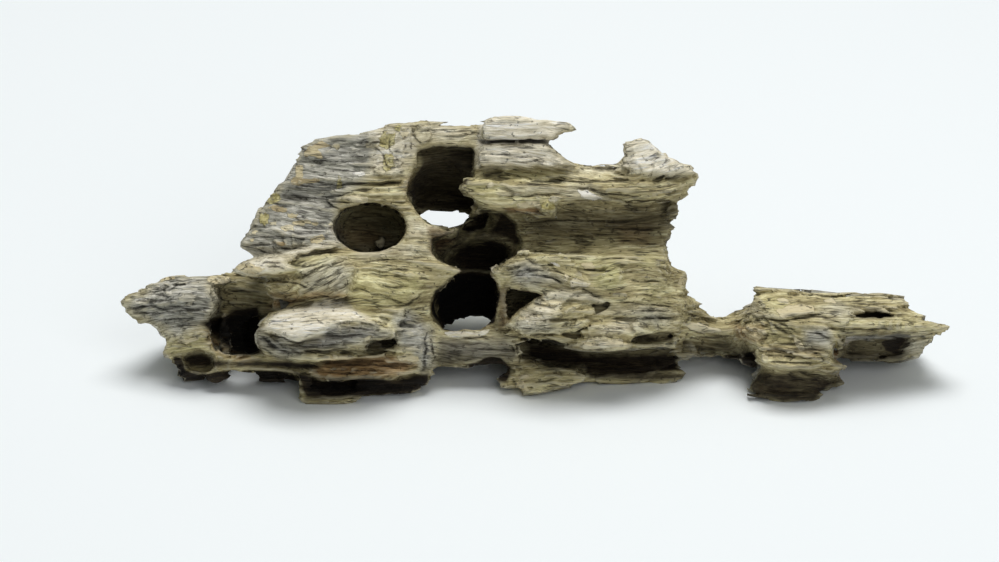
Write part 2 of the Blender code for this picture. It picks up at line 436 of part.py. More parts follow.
def wood_material():
    material = bpy.data.materials.new("weathered_wood")
    material.use_nodes = True
    shader = material.node_tree.nodes["Principled BSDF"]
    shader.inputs["Base Color"].default_value = (0.30, 0.26, 0.17, 1.0)
    shader.inputs["Roughness"].default_value = 0.85
    shader.inputs["Metallic"].default_value = 0.0
    return material


def whole_piece(rough, name):
    """The finished wood as plain mesh: its largest body, stood on the middle of its footprint."""
    shaped = bpy.data.meshes.new_from_object(rough.evaluated_get(bpy.context.evaluated_depsgraph_get()))
    body = bmesh.new()
    body.from_mesh(shaped)
    unseen = set(body.verts)
    pieces = []
    while unseen:
        edge_of_piece = [unseen.pop()]
        piece = list(edge_of_piece)
        while edge_of_piece:
            vert = edge_of_piece.pop()
            for edge in vert.link_edges:
                other = edge.other_vert(vert)
                if other in unseen:
                    unseen.remove(other)
                    edge_of_piece.append(other)
                    piece.append(other)
        pieces.append(piece)
    largest = max(pieces, key=len)
    for crumb in pieces:
        if crumb is not largest:
            bmesh.ops.delete(body, geom=crumb, context="VERTS")
    low = [min(vert.co[i] for vert in body.verts) for i in range(3)]
    high = [max(vert.co[i] for vert in body.verts) for i in range(3)]
    foot = Vector(((low[0] + high[0]) / 2.0, (low[1] + high[1]) / 2.0, low[2]))
    bmesh.ops.translate(body, verts=body.verts, vec=-foot)
    bmesh.ops.triangulate(body, faces=body.faces)
    body.to_mesh(shaped)
    body.free()
    shaped.name = name
    piece = bpy.data.objects.new(name, shaped)
    bpy.context.collection.objects.link(piece)
    return piece


for old in list(bpy.data.objects):
    bpy.data.objects.remove(old)

rough = rough_form("rough_wood", (add_trunk, add_slab, add_left_end, add_left_lobes,
                                  add_middle_lobes, add_top_lobes, add_right_end, add_back))
tunnels = rough_form("tunnels", (bore_tunnels, bore_back))
worn = bpy.data.meshes.new("floor_wear")
block = bmesh.new()
bmesh.ops.create_cube(block, size=FLOOR_BLOCK)
block.to_mesh(worn)
block.free()
floor_wear = bpy.data.objects.new("floor_wear", worn)
floor_wear.location = (0.0, 0.0, FLAT_WEAR - FLOOR_BLOCK / 2.0)
bpy.context.collection.objects.link(floor_wear)

join = rough.modifiers.new("join", "REMESH")
join.mode = "VOXEL"
join.voxel_size = FORM_VOXEL

cut = rough.modifiers.new("cut", "BOOLEAN")
cut.operation = "DIFFERENCE"
cut.solver = "EXACT"
cut.use_self = True
cut.object = tunnels

even = rough.modifiers.new("even", "REMESH")
even.mode = "VOXEL"
even.voxel_size = FORM_VOXEL

soften = rough.modifiers.new("soften", "SMOOTH")
soften.factor = SOFTEN_FACTOR
soften.iterations = SOFTEN_STEPS

thin = rough.modifiers.new("thin", "DECIMATE")
thin.ratio = FORM_SHARE

wear = rough.modifiers.new("wear", "BOOLEAN")
wear.operation = "DIFFERENCE"
wear.solver = "EXACT"
wear.object = floor_wear

wood = whole_piece(rough, "honeycomb_wood")
wood.data.materials.clear()
wood.data.materials.append(wood_material())

for helper in (rough, tunnels, floor_wear):
    bpy.data.objects.remove(helper)
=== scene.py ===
import math

import bmesh
import bpy
import numpy as np
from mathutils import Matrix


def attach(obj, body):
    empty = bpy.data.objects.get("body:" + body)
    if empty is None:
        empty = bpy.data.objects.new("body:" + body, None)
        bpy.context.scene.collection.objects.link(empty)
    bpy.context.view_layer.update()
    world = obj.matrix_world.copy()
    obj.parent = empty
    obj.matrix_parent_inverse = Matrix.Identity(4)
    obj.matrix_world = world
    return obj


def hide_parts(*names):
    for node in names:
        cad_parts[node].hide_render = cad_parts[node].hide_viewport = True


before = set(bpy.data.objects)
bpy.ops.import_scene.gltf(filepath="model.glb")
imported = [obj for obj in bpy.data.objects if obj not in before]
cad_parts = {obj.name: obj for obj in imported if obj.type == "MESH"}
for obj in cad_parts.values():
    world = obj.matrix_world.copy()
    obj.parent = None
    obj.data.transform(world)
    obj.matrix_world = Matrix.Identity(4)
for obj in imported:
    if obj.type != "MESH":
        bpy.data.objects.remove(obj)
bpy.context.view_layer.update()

import openvdb
from mathutils import Vector


# The wood: one piece of driftwood, bored through by shipworms and worn by water. It is carved
# from the plain CAD form, as a block of cells that each say how many millimetres they are
# outside the wood, or inside it where that is negative. Nothing is joined or fixed to it.
CELL = 0.5
CELLS_DEEP = 9
MARGIN = 5.0

plain = bmesh.new()
plain.from_mesh(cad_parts["honeycomb_wood"].data)
bmesh.ops.remove_doubles(plain, verts=plain.verts, dist=0.00001)
plain.verts.ensure_lookup_table()
plain_points = np.array([vert.co for vert in plain.verts], np.float32) * 1000.0
plain_faces = np.array([[vert.index for vert in face.verts] for face in plain.faces], np.uint32)
plain.free()

wood_grid = openvdb.FloatGrid.createLevelSetFromPolygons(
    plain_points, triangles=plain_faces,
    transform=openvdb.createLinearTransform(voxelSize=CELL), halfWidth=CELLS_DEEP)
first_cell = np.floor((plain_points.min(0) - MARGIN) / CELL).astype(int)
last_cell = np.ceil((plain_points.max(0) + MARGIN) / CELL).astype(int)
distance = np.zeros(last_cell - first_cell + 1, np.float32)
wood_grid.copyToArray(distance, ijk=tuple(int(i) for i in first_cell))


def blur(block, cells):
    """The block averaged over a cube of cells each way, along one axis after another."""
    for axis in range(3):
        padded = np.moveaxis(block, axis, 0)
        padded = np.concatenate([padded[:1]] * (cells + 1) + [padded] + [padded[-1:]] * cells)
        total = np.cumsum(padded, axis=0, dtype=np.float64)
        block = ((total[2 * cells + 1:] - total[:-2 * cells - 1]) / (2 * cells + 1)).astype(np.float32)
        block = np.moveaxis(block, 0, axis)
    return np.ascontiguousarray(block)


def read_block(block, points):
    """The block's values at points in millimetres, blended between the eight cells around."""
    place = points / CELL - first_cell
    place = np.clip(place, 0, np.array(block.shape) - 1.001)
    cell = place.astype(np.int32)
    share = (place - cell).astype(np.float32)
    strides = np.array([block.shape[1] * block.shape[2], block.shape[2], 1])
    flat = block.ravel()
    base = cell @ strides
    value = np.zeros(len(points), np.float32)
    for corner in range(8):
        step = np.array([corner >> 2, corner >> 1 & 1, corner & 1])
        weight = np.prod(np.where(step, share, 1.0 - share), axis=1)
        value += weight * flat[base + int(step @ strides)]
    return value


# The facets of the plain form are rounded off first, and a little is put back all over
PUT_BACK = 0.12
distance = blur(blur(distance, 1), 1) - PUT_BACK

# Marks are laid out as they are seen from in front and a little above, in millimetres
# across to the right and up the view, and each is then set on the skin it falls on
VIEW_TILT = math.radians(25.0)
VIEW_FAR = 1400.0
VIEW_EYE = np.array([-9.555, -1273.159, 616.966])
VIEW_LOOK = np.array([0.0, math.cos(VIEW_TILT), -math.sin(VIEW_TILT)])
VIEW_RISE = np.array([0.0, math.sin(VIEW_TILT), math.cos(VIEW_TILT)])
VIEW_ACROSS = -10.1
VIEW_UP = 34.2


def seen(points):
    """Where points in millimetres are seen: across, up, and how far behind the middle."""
    reach = points - VIEW_EYE
    far = reach @ VIEW_LOOK
    across = reach[:, 0] / far * VIEW_FAR + VIEW_ACROSS
    up = reach @ VIEW_RISE / far * VIEW_FAR + VIEW_UP
    return across.astype(np.float32), up.astype(np.float32), (far - VIEW_FAR).astype(np.float32)


def place_of(across, up, back):
    """The point in millimetres that is seen at across and up, that far behind the middle."""
    ray = VIEW_LOOK + (up - VIEW_UP) / VIEW_FAR * VIEW_RISE
    ray = ray + (across - VIEW_ACROSS) / VIEW_FAR * np.array([1.0, 0.0, 0.0])
    return VIEW_EYE + ray * (back + VIEW_FAR)


def skin_cells(reach):
    """The cells within reach of the skin: their index in the block and their middle points."""
    index = np.nonzero(np.abs(distance.ravel()) < reach)[0]
    cell = np.stack(np.unravel_index(index, distance.shape), axis=1)
    return index, ((cell + first_cell) * CELL).astype(np.float32)


# Random values at the corners of a cube of cells, which repeats past its sides
RIPPLE_CELLS = 32
RIPPLES = np.random.default_rng(11).random((RIPPLE_CELLS,) * 3, dtype=np.float32)


def ripple(points, sizes, start):
    """Smooth random values from 0 to 1 that change over sizes in millimetres."""
    place = points / np.array(sizes, np.float32) + np.float32(start * 7.31)
    cell = np.floor(place)
    share = place - cell
    share = share * share * (3.0 - 2.0 * share)
    cell = cell.astype(np.int32)
    flat = RIPPLES.ravel()
    value = np.zeros(len(points), np.float32)
    for corner in range(8):
        step = np.array([corner >> 2, corner >> 1 & 1, corner & 1])
        weight = np.ones(len(points), np.float32)
        at = np.zeros(len(points), np.int32)
        for axis in range(3):
            weight *= share[:, axis] if step[axis] else 1.0 - share[:, axis]
            at = at * RIPPLE_CELLS + (cell[:, axis] + step[axis]) % RIPPLE_CELLS
        value += weight * flat[at]
    return value


def patches(points, sizes, start, steep, least):
    """Patches that lie by chance, 1 inside them and 0 between, with edges as steep as asked."""
    return np.clip(ripple(points, sizes, start) * steep - least, 0.0, 1.0)


# A sheet covers the whole view with a value for every quarter of a millimetre. Marks are laid
# on it with their edges made ragged, by up to half of these widths either way
SHEET_STEP = 0.25
SHEET_CORNER = np.array([-125.0, -12.0])
SHEET_SHAPE = (980, 400)
RAGGED_ACROSS = 0.9
RAGGED_UP = 0.7
sheet_across, sheet_up = np.meshgrid(*[
    (SHEET_CORNER[axis] + SHEET_STEP * np.arange(SHEET_SHAPE[axis])).astype(np.float32)
    for axis in (0, 1)], indexing="ij")
sheet_points = np.stack([sheet_across.ravel(), sheet_up.ravel(), 0.0 * sheet_up.ravel()], axis=1)
ragged_across = ripple(sheet_points, (3.1, 1.5, 1), 21).reshape(SHEET_SHAPE) - 0.5
ragged_across = sheet_across + RAGGED_ACROSS * ragged_across
ragged_up = ripple(sheet_points, (2.3, 1.2, 1), 22).reshape(SHEET_SHAPE) - 0.5
ragged_up = sheet_up + RAGGED_UP * ragged_up


def read_sheet(sheet, across, up):
    """The sheet's values at places across and up."""
    i = np.clip((across - SHEET_CORNER[0]) / SHEET_STEP, 0, SHEET_SHAPE[0] - 1.001)
    j = np.clip((up - SHEET_CORNER[1]) / SHEET_STEP, 0, SHEET_SHAPE[1] - 1.001)
    a, b = i.astype(int), j.astype(int)
    i, j = i - a, j - b
    return ((sheet[a, b] * (1 - i) + sheet[a + 1, b] * i) * (1 - j)
            + (sheet[a, b + 1] * (1 - i) + sheet[a + 1, b + 1] * i) * j).astype(np.float32)


def from_mark(stops, closed):
    """A window of the sheet, and how far its places are from a line or from a shape's edge."""
    stops = np.array(stops, np.float32).reshape(-1, 2)
    low = np.maximum((stops.min(0) - MARGIN - SHEET_CORNER) / SHEET_STEP, 0).astype(int)
    high = ((stops.max(0) + MARGIN - SHEET_CORNER) / SHEET_STEP).astype(int)
    window = (slice(low[0], high[0]), slice(low[1], high[1]))
    across, up = ragged_across[window], ragged_up[window]
    far = np.full(across.shape, 99.0, np.float32)
    inside = np.zeros(across.shape, bool)
    ends = np.roll(stops, -1, 0) if closed else stops[1:]
    for (xa, ua), (xb, ub) in zip(stops, ends):
        dx, du = xb - xa, ub - ua
        along = np.clip(((across - xa) * dx + (up - ua) * du) / (dx * dx + du * du + 1e-9), 0, 1)
        far = np.minimum(far, np.hypot(across - xa - along * dx, up - ua - along * du))
        if closed:
            inside ^= ((ua > up) != (ub > up)) & (across < xa + (up - ua) * dx / (du + 1e-9))
    if not closed:
        from_ends = np.minimum(np.hypot(across - stops[0, 0], up - stops[0, 1]),
                               np.hypot(across - stops[-1, 0], up - stops[-1, 1]))
        far += np.clip(1.0 - from_ends / 3.0, 0.0, 1.0) * 0.3
    return window, np.where(inside, -far, far)


def part_inside(far, soft):
    """How much of each place is inside a mark whose edge is soft, from 0 to 1."""
    return np.clip(0.5 - far / (2.0 * soft), 0.0, 1.0)


# Lumps the plain form lacks, and gaps worn in it: from how near to how far behind the
# middle of the view each one reaches, how round its edges are, and its corners, each
# across and up
LUMPS = (
    # Left tip, the dark underside behind its thin edge, and a sliver in the deep hollow
    (-6.5, -1, 1.6, -116, 27.6, -115.8, 26.3, -114.6, 25.4, -113, 23.6, -111, 22.8, -107, 22.4, -104, 24,
     -104, 33, -106, 34, -108, 33, -109, 31.9, -112, 31, -114, 30.2, -115.4, 29),
    (-8, -4, 0.4, -102.4, 17.6, -103.2, 15.8, -104, 14.4, -103.8, 13.5, -101.8, 14, -99, 13.4, -99, 17.6),
    (-5, 0, 0.5, -101.6, 13.8, -101.4, 11.4, -100, 9.8, -99.8, 7.8, -98, 6.8, -96, 6.6, -92.6, 7, -92, 9,
     -96, 11, -99, 14),
    (-9, -3, 0.4, -93, 8.4, -92, 7, -91, 6.3, -89.6, 5.6, -88.4, 6, -87.4, 6.6, -86, 6.9, -85.6, 7.6,
     -86.6, 8.2, -86, 9.4, -90, 10),
    (-7, 0, 0.4, -79.4, 9.8, -78.4, 7.6, -77.6, 7, -77.5, 5.8, -73.4, 5.5, -71, 6.4, -69, 7.8, -67, 9.6),
    (2, 12, 0.3, -88, 26, -86.9, 26, -86.7, 21.8, -85.9, 19, -85.8, 16.2, -86.2, 12.6, -87, 12.6, -88, 17.8,
     -88.3, 19.6),
    # Point of the pitted face, and the thin foot with its shadowed mass
    (-18, -10, 0.8, -45, 24, -42, 26.4, -36.4, 26.6, -37, 24, -38.4, 22.4, -38.2, 20.6, -39.4, 19.6,
     -44, 19.4),
    (-11, -2, 0.8, -50, 7, -50.4, 2.4, -46, 2.2, -40, 2.5, -35, 3.4, -32, 4.8, -29.6, 7.4, -29, 9, -33, 9.6,
     -40, 7.4),
    (-14, -10, 0.4, -66.4, 4.6, -65.2, 3.2, -66.2, 1.6, -65.4, 0.2, -58, -0.4, -51, 0.1, -49.6, 1.8,
     -47.6, 3.1, -50.5, 2.7, -54, 2, -56, 2.4, -59, 1.6, -60.6, 2.2, -61.4, 4, -63, 5.4, -64, 7.4,
     -65.6, 7.4),
    # Crumb of wood in the left tunnel, and the far rims of the two tunnels that light falls through
    (4, 13, 0.2, -45, 43.3, -45.1, 45.3, -43.9, 45.3, -43.5, 46.5, -42.9, 46.3, -42.3, 45.2, -42.4, 43.5),
    (22, 31, 0.5, -34, 53, -33, 52.6, -30, 53.8, -26, 54.4, -22, 54, -19, 53, -17, 52, -17, 58, -34, 58),
    (22, 30, 0.5, -32, 18, -27.8, 19.6, -26.2, 21.4, -24.4, 22.8, -22.6, 23.7, -20.6, 23.9, -18, 24.6,
     -15.6, 24.9, -13.6, 24.3, -11.6, 22.8, -11, 30, -27, 30),
    # Stacked ledges, the notch and the peak
    (-15.2, -4, 0.6, -14, 74.2, 4.2, 74, 5.6, 74.8, 7, 75.9, 10, 76.2, 10.3, 76.8, 9.2, 77.9, 5, 78.4,
     0, 79, -6, 79.9, -10, 79.9, -12, 79.6, -14, 78.4),
    (-15.4, 5, 0.6, -15, 67.2, 9, 67.2, 6.4, 69, 5, 70.6, 4, 72, 4, 72.8, -14, 72.6),
    (-17, -8, 0.8, -14, 62.6, -19.6, 62.5, -20.9, 60.8, -20.4, 58.9, -17.6, 57.8, -15, 56.4, -12, 56,
     -12, 62),
    (-17.5, -9, 0.8, -14, 57, -14.8, 55.8, -12, 54.8, -9, 54, -6, 54.4, -3, 53.7, -1, 53, 1, 52.4, 3, 52.4,
     5, 52.9, 6, 54.8, 9, 56.6, 12, 57.4, 9, 58.5, -12, 58.5),
    (-19.4, -15, 1, 0.6, 54.6, 1.4, 56, 2.8, 56.4, 4.4, 57, 5.6, 56.4, 6, 54.8, 5.4, 53, 4.4, 52.4, 3, 52.8,
     1.6, 53.6),
    (-12, -7, 0.5, 10, 64, 9.6, 67.4, 12.5, 66.5, 16, 66.2, 23, 66.4, 25, 67.6, 27, 66, 27, 64),
    (-16, -8, 0.7, 24.6, 66, 25, 68.4, 25.9, 70, 25.6, 71, 25.1, 72.4, 27.4, 72.7, 28.2, 73.4, 29.4, 73.8,
     31, 73.6, 32, 72.5, 34, 70.3, 36, 69.4, 38, 67.7, 40, 66.5, 43.2, 66.1, 43.8, 65, 45.3, 64.3,
     44.6, 63.6, 40, 63.9, 34, 63.8, 30, 64.4, 27, 65),
    (-12, -6, 0.5, 37, 61.8, 44.4, 62, 44.9, 63, 44.9, 64.2, 38, 64.2),
    (-12.5, -5, 0.6, 37, 52.2, 39.3, 52.2, 39.5, 54.5, 40.3, 56, 40.6, 57.6, 42.2, 59.6, 42.6, 61.2,
     43.4, 62.3, 37, 62),
    (-13.8, -6, 1, -9, 62.4, -9.6, 66.8, 9, 66.8, 11.4, 66.6, 11.6, 62.8),
    (-15.6, -8, 1.2, -73, 25, -70, 26.2, -66, 27.8, -62, 30, -57, 30.4, -53.4, 29.4, -51, 26, -50, 23,
     -72, 22),
    # Claw, the lip over the long gallery and the wood that closes its right end
    (-9, -4, 0.6, -5.6, 9.6, -7.4, 8.2, -9.2, 7.6, -10.2, 6.4, -10, 5.2, -8.6, 4.8, -6.6, 5, -5, 6),
    (-11, -4, 0.8, -3, 3, 1, 3.4, 6, 4.4, 10, 5.4, 13, 6.8, 13.5, 7.5, 11.6, 8.9, 9.6, 9.7, 5, 9.7, -3, 9),
    (1, 8, 0.6, 33, 14, 36, 16.4, 39, 16.4, 39.6, 15, 38.4, 14.4, 38, 12.6, 39.4, 10.8, 36, 10),
    (-12, 3, 0.6, 26, 20, 30, 20.8, 38, 20.8, 39.6, 18, 39, 15.9, 36, 15.8, 27, 16),
    (-16, -8, 0.4, 26.6, 16.9, 28, 16.7, 38, 16.9, 38.7, 16.3, 38, 15.8, 27, 15.8),
    (-5, 8, 0.6, 38, 21, 42, 21, 42.6, 18, 44, 16, 44.6, 14.4, 43, 13.4, 40.4, 13.4, 38.4, 14.4, 38.6, 16),
    (-7, 8, 0.8, 57, 13.5, 62.6, 13.5, 62.6, 10.2, 60.4, 10.6, 58.4, 11.7),
    # Horn and top edge of the knob, its long point, the corners at its right, and its foot's toes
    (-9, 4, 0.5, 62.8, 28.6, 62.6, 30.2, 61.5, 31.3, 61.5, 32.3, 64, 32.3, 68, 31.9, 74, 31.5, 74, 28),
    (0, 8, 0.5, 64, 32.2, 72, 31.7, 84, 31.1, 90, 31, 92, 30.2, 98, 30.1, 102, 29.5, 104, 28.2, 103, 27,
     98, 28, 88, 29, 66, 30),
    (-12, -5, 0.9, 104, 22.8, 110, 22.6, 113, 21.9, 115.6, 21.4, 116.1, 20.6, 114.6, 20, 112, 19.6,
     106, 20.2),
    (-21, -14, 0.4, 82, 18.8, 85, 18.2, 88.2, 18.2, 86.4, 15, 84.6, 14.8, 83.4, 17),
    (-18, -10, 0.4, 81, 11.4, 85, 11.6, 87.3, 10, 85, 9.4, 83.6, 8.6, 81.6, 8.2, 80, 8.6),
    (-13.6, -9, 0.5, 61.6, 6, 60.4, 4, 58.7, 3, 58.6, 2.2, 59.3, 1.5, 62, 1.2, 66, 0.6, 66, 4),
    (-12, -6, 0.5, 80, 7.4, 82.8, 7, 84.4, 8, 86.6, 6.8, 87.5, 6, 86.6, 4.8, 84, 4, 81.4, 3.2, 80, 4),
)
GAPS = (
    # Recess under the left tip's thin edge, and the hollow under the bleached lobe's point
    (-30, -7, 0.2, -79, 9, -66, 8.4, -66, 5, -79, 5),
    (-30, -13, 0.3, -47.6, 16.2, -45.6, 17.8, -42, 18, -40, 17.9, -40.6, 16, -41.6, 14.6, -44, 14,
     -47, 14.6),
    # Top tunnel's mouth and the lower rims of the two tunnels that light falls through
    (-30, 1, 0.3, -36.4, 58.4, -35.4, 62, -33.6, 67, -33.4, 70.6, -30, 71.6, -26, 72.2, -17.6, 71.6,
     -16.8, 69.6, -17.8, 65, -20.8, 62.6, -21.2, 59.4, -17.4, 56.4, -14.8, 54.4, -19, 53.2, -33, 53.6),
    (-30, 40, 0.2, -31.5, 51.4, -28.6, 49.5, -26.4, 49.1, -24, 48.5, -22, 49.1, -20.6, 50.4, -18, 51.8,
     -20, 52.8, -30, 52.8),
    (-30, 40, 0.2, -26.4, 21.4, -25.6, 20.2, -23, 19.8, -20, 19.7, -17, 19.8, -14, 20.4, -12.6, 21.2,
     -11.6, 22.6, -16, 23.5, -24, 22.6),
    (-30, 8, 0.2, -20.4, 49.8, -17.8, 51.4, -14.6, 53.7, -12.4, 53.2, -14, 49, -18.6, 47.4, -21, 47.8),
    # Gaps between the stacked ledges, the notch beside the peak, and the undercut at the right
    (-30, -12.6, 0.2, -15.6, 73, 4.6, 73.2, 4.6, 73.9, -12, 73.9, -14.4, 74.6, -15.6, 74),
    (-30, -12, 0.2, -16, 63.8, -15, 65.8, -10.6, 65.4, -9.4, 64.4, -11, 63.5),
    (-30, 40, 0.2, 44.7, 63.4, 47, 63.9, 47, 60, 43.2, 60.6, 43.8, 62),
    (-30, 40, 0.2, 4.8, 73.4, 5.9, 74.6, 7.2, 75.6, 10.8, 75.9, 13, 74, 7, 70.4, 5.4, 71),
    (-30, 40, 0.2, 11.6, 68, 12.5, 66.8, 16, 66.5, 23, 66.7, 24.3, 67.5, 25, 69, 25.3, 71, 24.6, 72.6,
     24.6, 77, 11, 77, 8, 70.5),
    (-30, -15, 0.2, 31.4, 62.6, 33.4, 63.8, 38, 64, 43.6, 64, 42, 62.8, 38, 62.2),
    (-30, 40, 0.2, 37, 51.2, 39.4, 51.5, 42, 52.4, 43, 44, 36.4, 43, 36, 44.6, 36.3, 46, 37.6, 47.4,
     38.1, 48.7, 37.2, 50),
    # Pocket beside the right spur, and the pockets around the lobe below it
    (-30, -5.5, 0.3, -8.2, 32.6, -5.6, 32.2, -3.6, 31.9, -1, 31.1, 2.6, 30.5, 2.4, 29.9, 0.4, 29, -2, 27.6,
     -5, 25, -7.6, 22.6, -8.2, 24, -8.6, 28),
    (-30, -17, 0.3, 7.4, 19.2, 10, 20.8, 13, 21.8, 16, 21.6, 15, 20.6, 13.4, 20, 13, 18.6, 11, 18),
    (-30, -17, 0.3, 15, 24.2, 16.4, 25.6, 16.6, 27.4, 18.6, 27.8, 20, 28.6, 20.8, 28, 20.2, 26.6,
     18.6, 25.6, 17, 24.6),
    # Underside of the bridge, the shelf's worn top, the curve up to the horn, and the slot
    (-30, -7, 0.3, -24, 9, -20, 10.3, -17, 11.3, -14, 12.7, -12, 13.1, -10, 12.7, -8, 11.3, -6.4, 10.2,
     -6, 8, -24, 8),
    (-30, -1, 0.3, 10, 10.4, 12.8, 8.7, 14.4, 7.9, 22, 7.8, 30, 8, 36, 9.2, 40, 10.8, 36, 12, 10, 12),
    (-30, 40, 0.2, 50, 24.2, 54, 24.6, 57, 25.7, 59.6, 27.5, 61.3, 29.4, 62.1, 30.5, 61, 32, 54, 34,
     50, 28),
    (-30, 40, 0.2, 103.4, 28.9, 105, 26.5, 107, 24.6, 109, 23.1, 111, 22.3, 113, 21.8, 116.2, 20.9, 119, 21,
     118, 27, 104, 32),
    (-30, -6, 0.2, 88, 23.9, 90, 24.6, 92, 25.4, 95, 26, 98, 25.3, 100.6, 24.1, 96, 23.6, 92, 23.7),
)
BLEND = 1.2
FLOOR = 0.1
LUMP_MARGIN = 3.0


def shape_cells(near, far, rounding, corners):
    """The part of the block around a lump or gap, and each cell's distance from it."""
    sheet = np.full(SHEET_SHAPE, 9.0, np.float32)
    window, edge = from_mark(corners, True)
    sheet[window] = edge
    stops = np.array(corners).reshape(-1, 2)
    ends = np.array([place_of(x, u, back)
                     for x in (stops[:, 0].min(), stops[:, 0].max())
                     for u in (stops[:, 1].min(), stops[:, 1].max()) for back in (near, far)])
    low = np.maximum(((ends.min(0) - LUMP_MARGIN) / CELL).astype(int) - first_cell, 0)
    high = ((ends.max(0) + LUMP_MARGIN) / CELL).astype(int) - first_cell
    high = np.minimum(high, distance.shape)
    around = tuple(slice(a, b) for a, b in zip(low, high))
    cells = np.stack(np.meshgrid(*[np.arange(a, b) for a, b in zip(low, high)], indexing="ij"), axis=-1)
    across, up, back = seen(((cells.reshape(-1, 3) + first_cell) * CELL).astype(np.float32))
    side = read_sheet(sheet, across, up) + rounding
    ends = np.maximum(near - back, back - far) + rounding
    far_out = np.minimum(np.maximum(side, ends), 0.0)
    far_out += np.hypot(np.maximum(side, 0.0), np.maximum(ends, 0.0)) - rounding
    return around, far_out.reshape(cells.shape[:3])


for near, far, rounding, *corners in LUMPS:
    around, lump = shape_cells(near, far, rounding, corners)
    blend = np.maximum(BLEND - np.abs(distance[around] - lump), 0.0) ** 2 / (4.0 * BLEND)
    distance[around] = np.minimum(distance[around], lump) - blend
for near, far, rounding, *corners in GAPS:
    around, gap = shape_cells(near, far, rounding, corners)
    distance[around] = np.maximum(distance[around], -gap)
heights = ((np.arange(distance.shape[2]) + first_cell[2]) * CELL).astype(np.float32)
distance = np.maximum(distance, FLOOR - heights)

# How far back the front of the wood is, over the sheet
front = np.full((SHEET_SHAPE[0] // 2 + 1, SHEET_SHAPE[1] // 2 + 1), 90.0, np.float32)
index, spots = skin_cells(0.6)
spots = spots[distance.ravel()[index] < 0.05]
across, up, back = seen(spots)
i = ((across - SHEET_CORNER[0]) / (2 * SHEET_STEP)).astype(int)
j = ((up - SHEET_CORNER[1]) / (2 * SHEET_STEP)).astype(int)
for di, dj in ((0, 0), (1, 0), (0, 1), (1, 1)):
    np.minimum.at(front, (i + di, j + dj), back)
front = front[:-1, :-1].repeat(2, axis=0).repeat(2, axis=1)


def on_front(points):
    """Where points are seen, and how surely they're on the skin that faces the view, 0 to 1."""
    across, up, back = seen(points)
    behind = back - read_sheet(front, across, up)
    return across, up, np.clip(2.4 - np.abs(behind - 0.5) / 2.5, 0.0, 1.0).astype(np.float32)


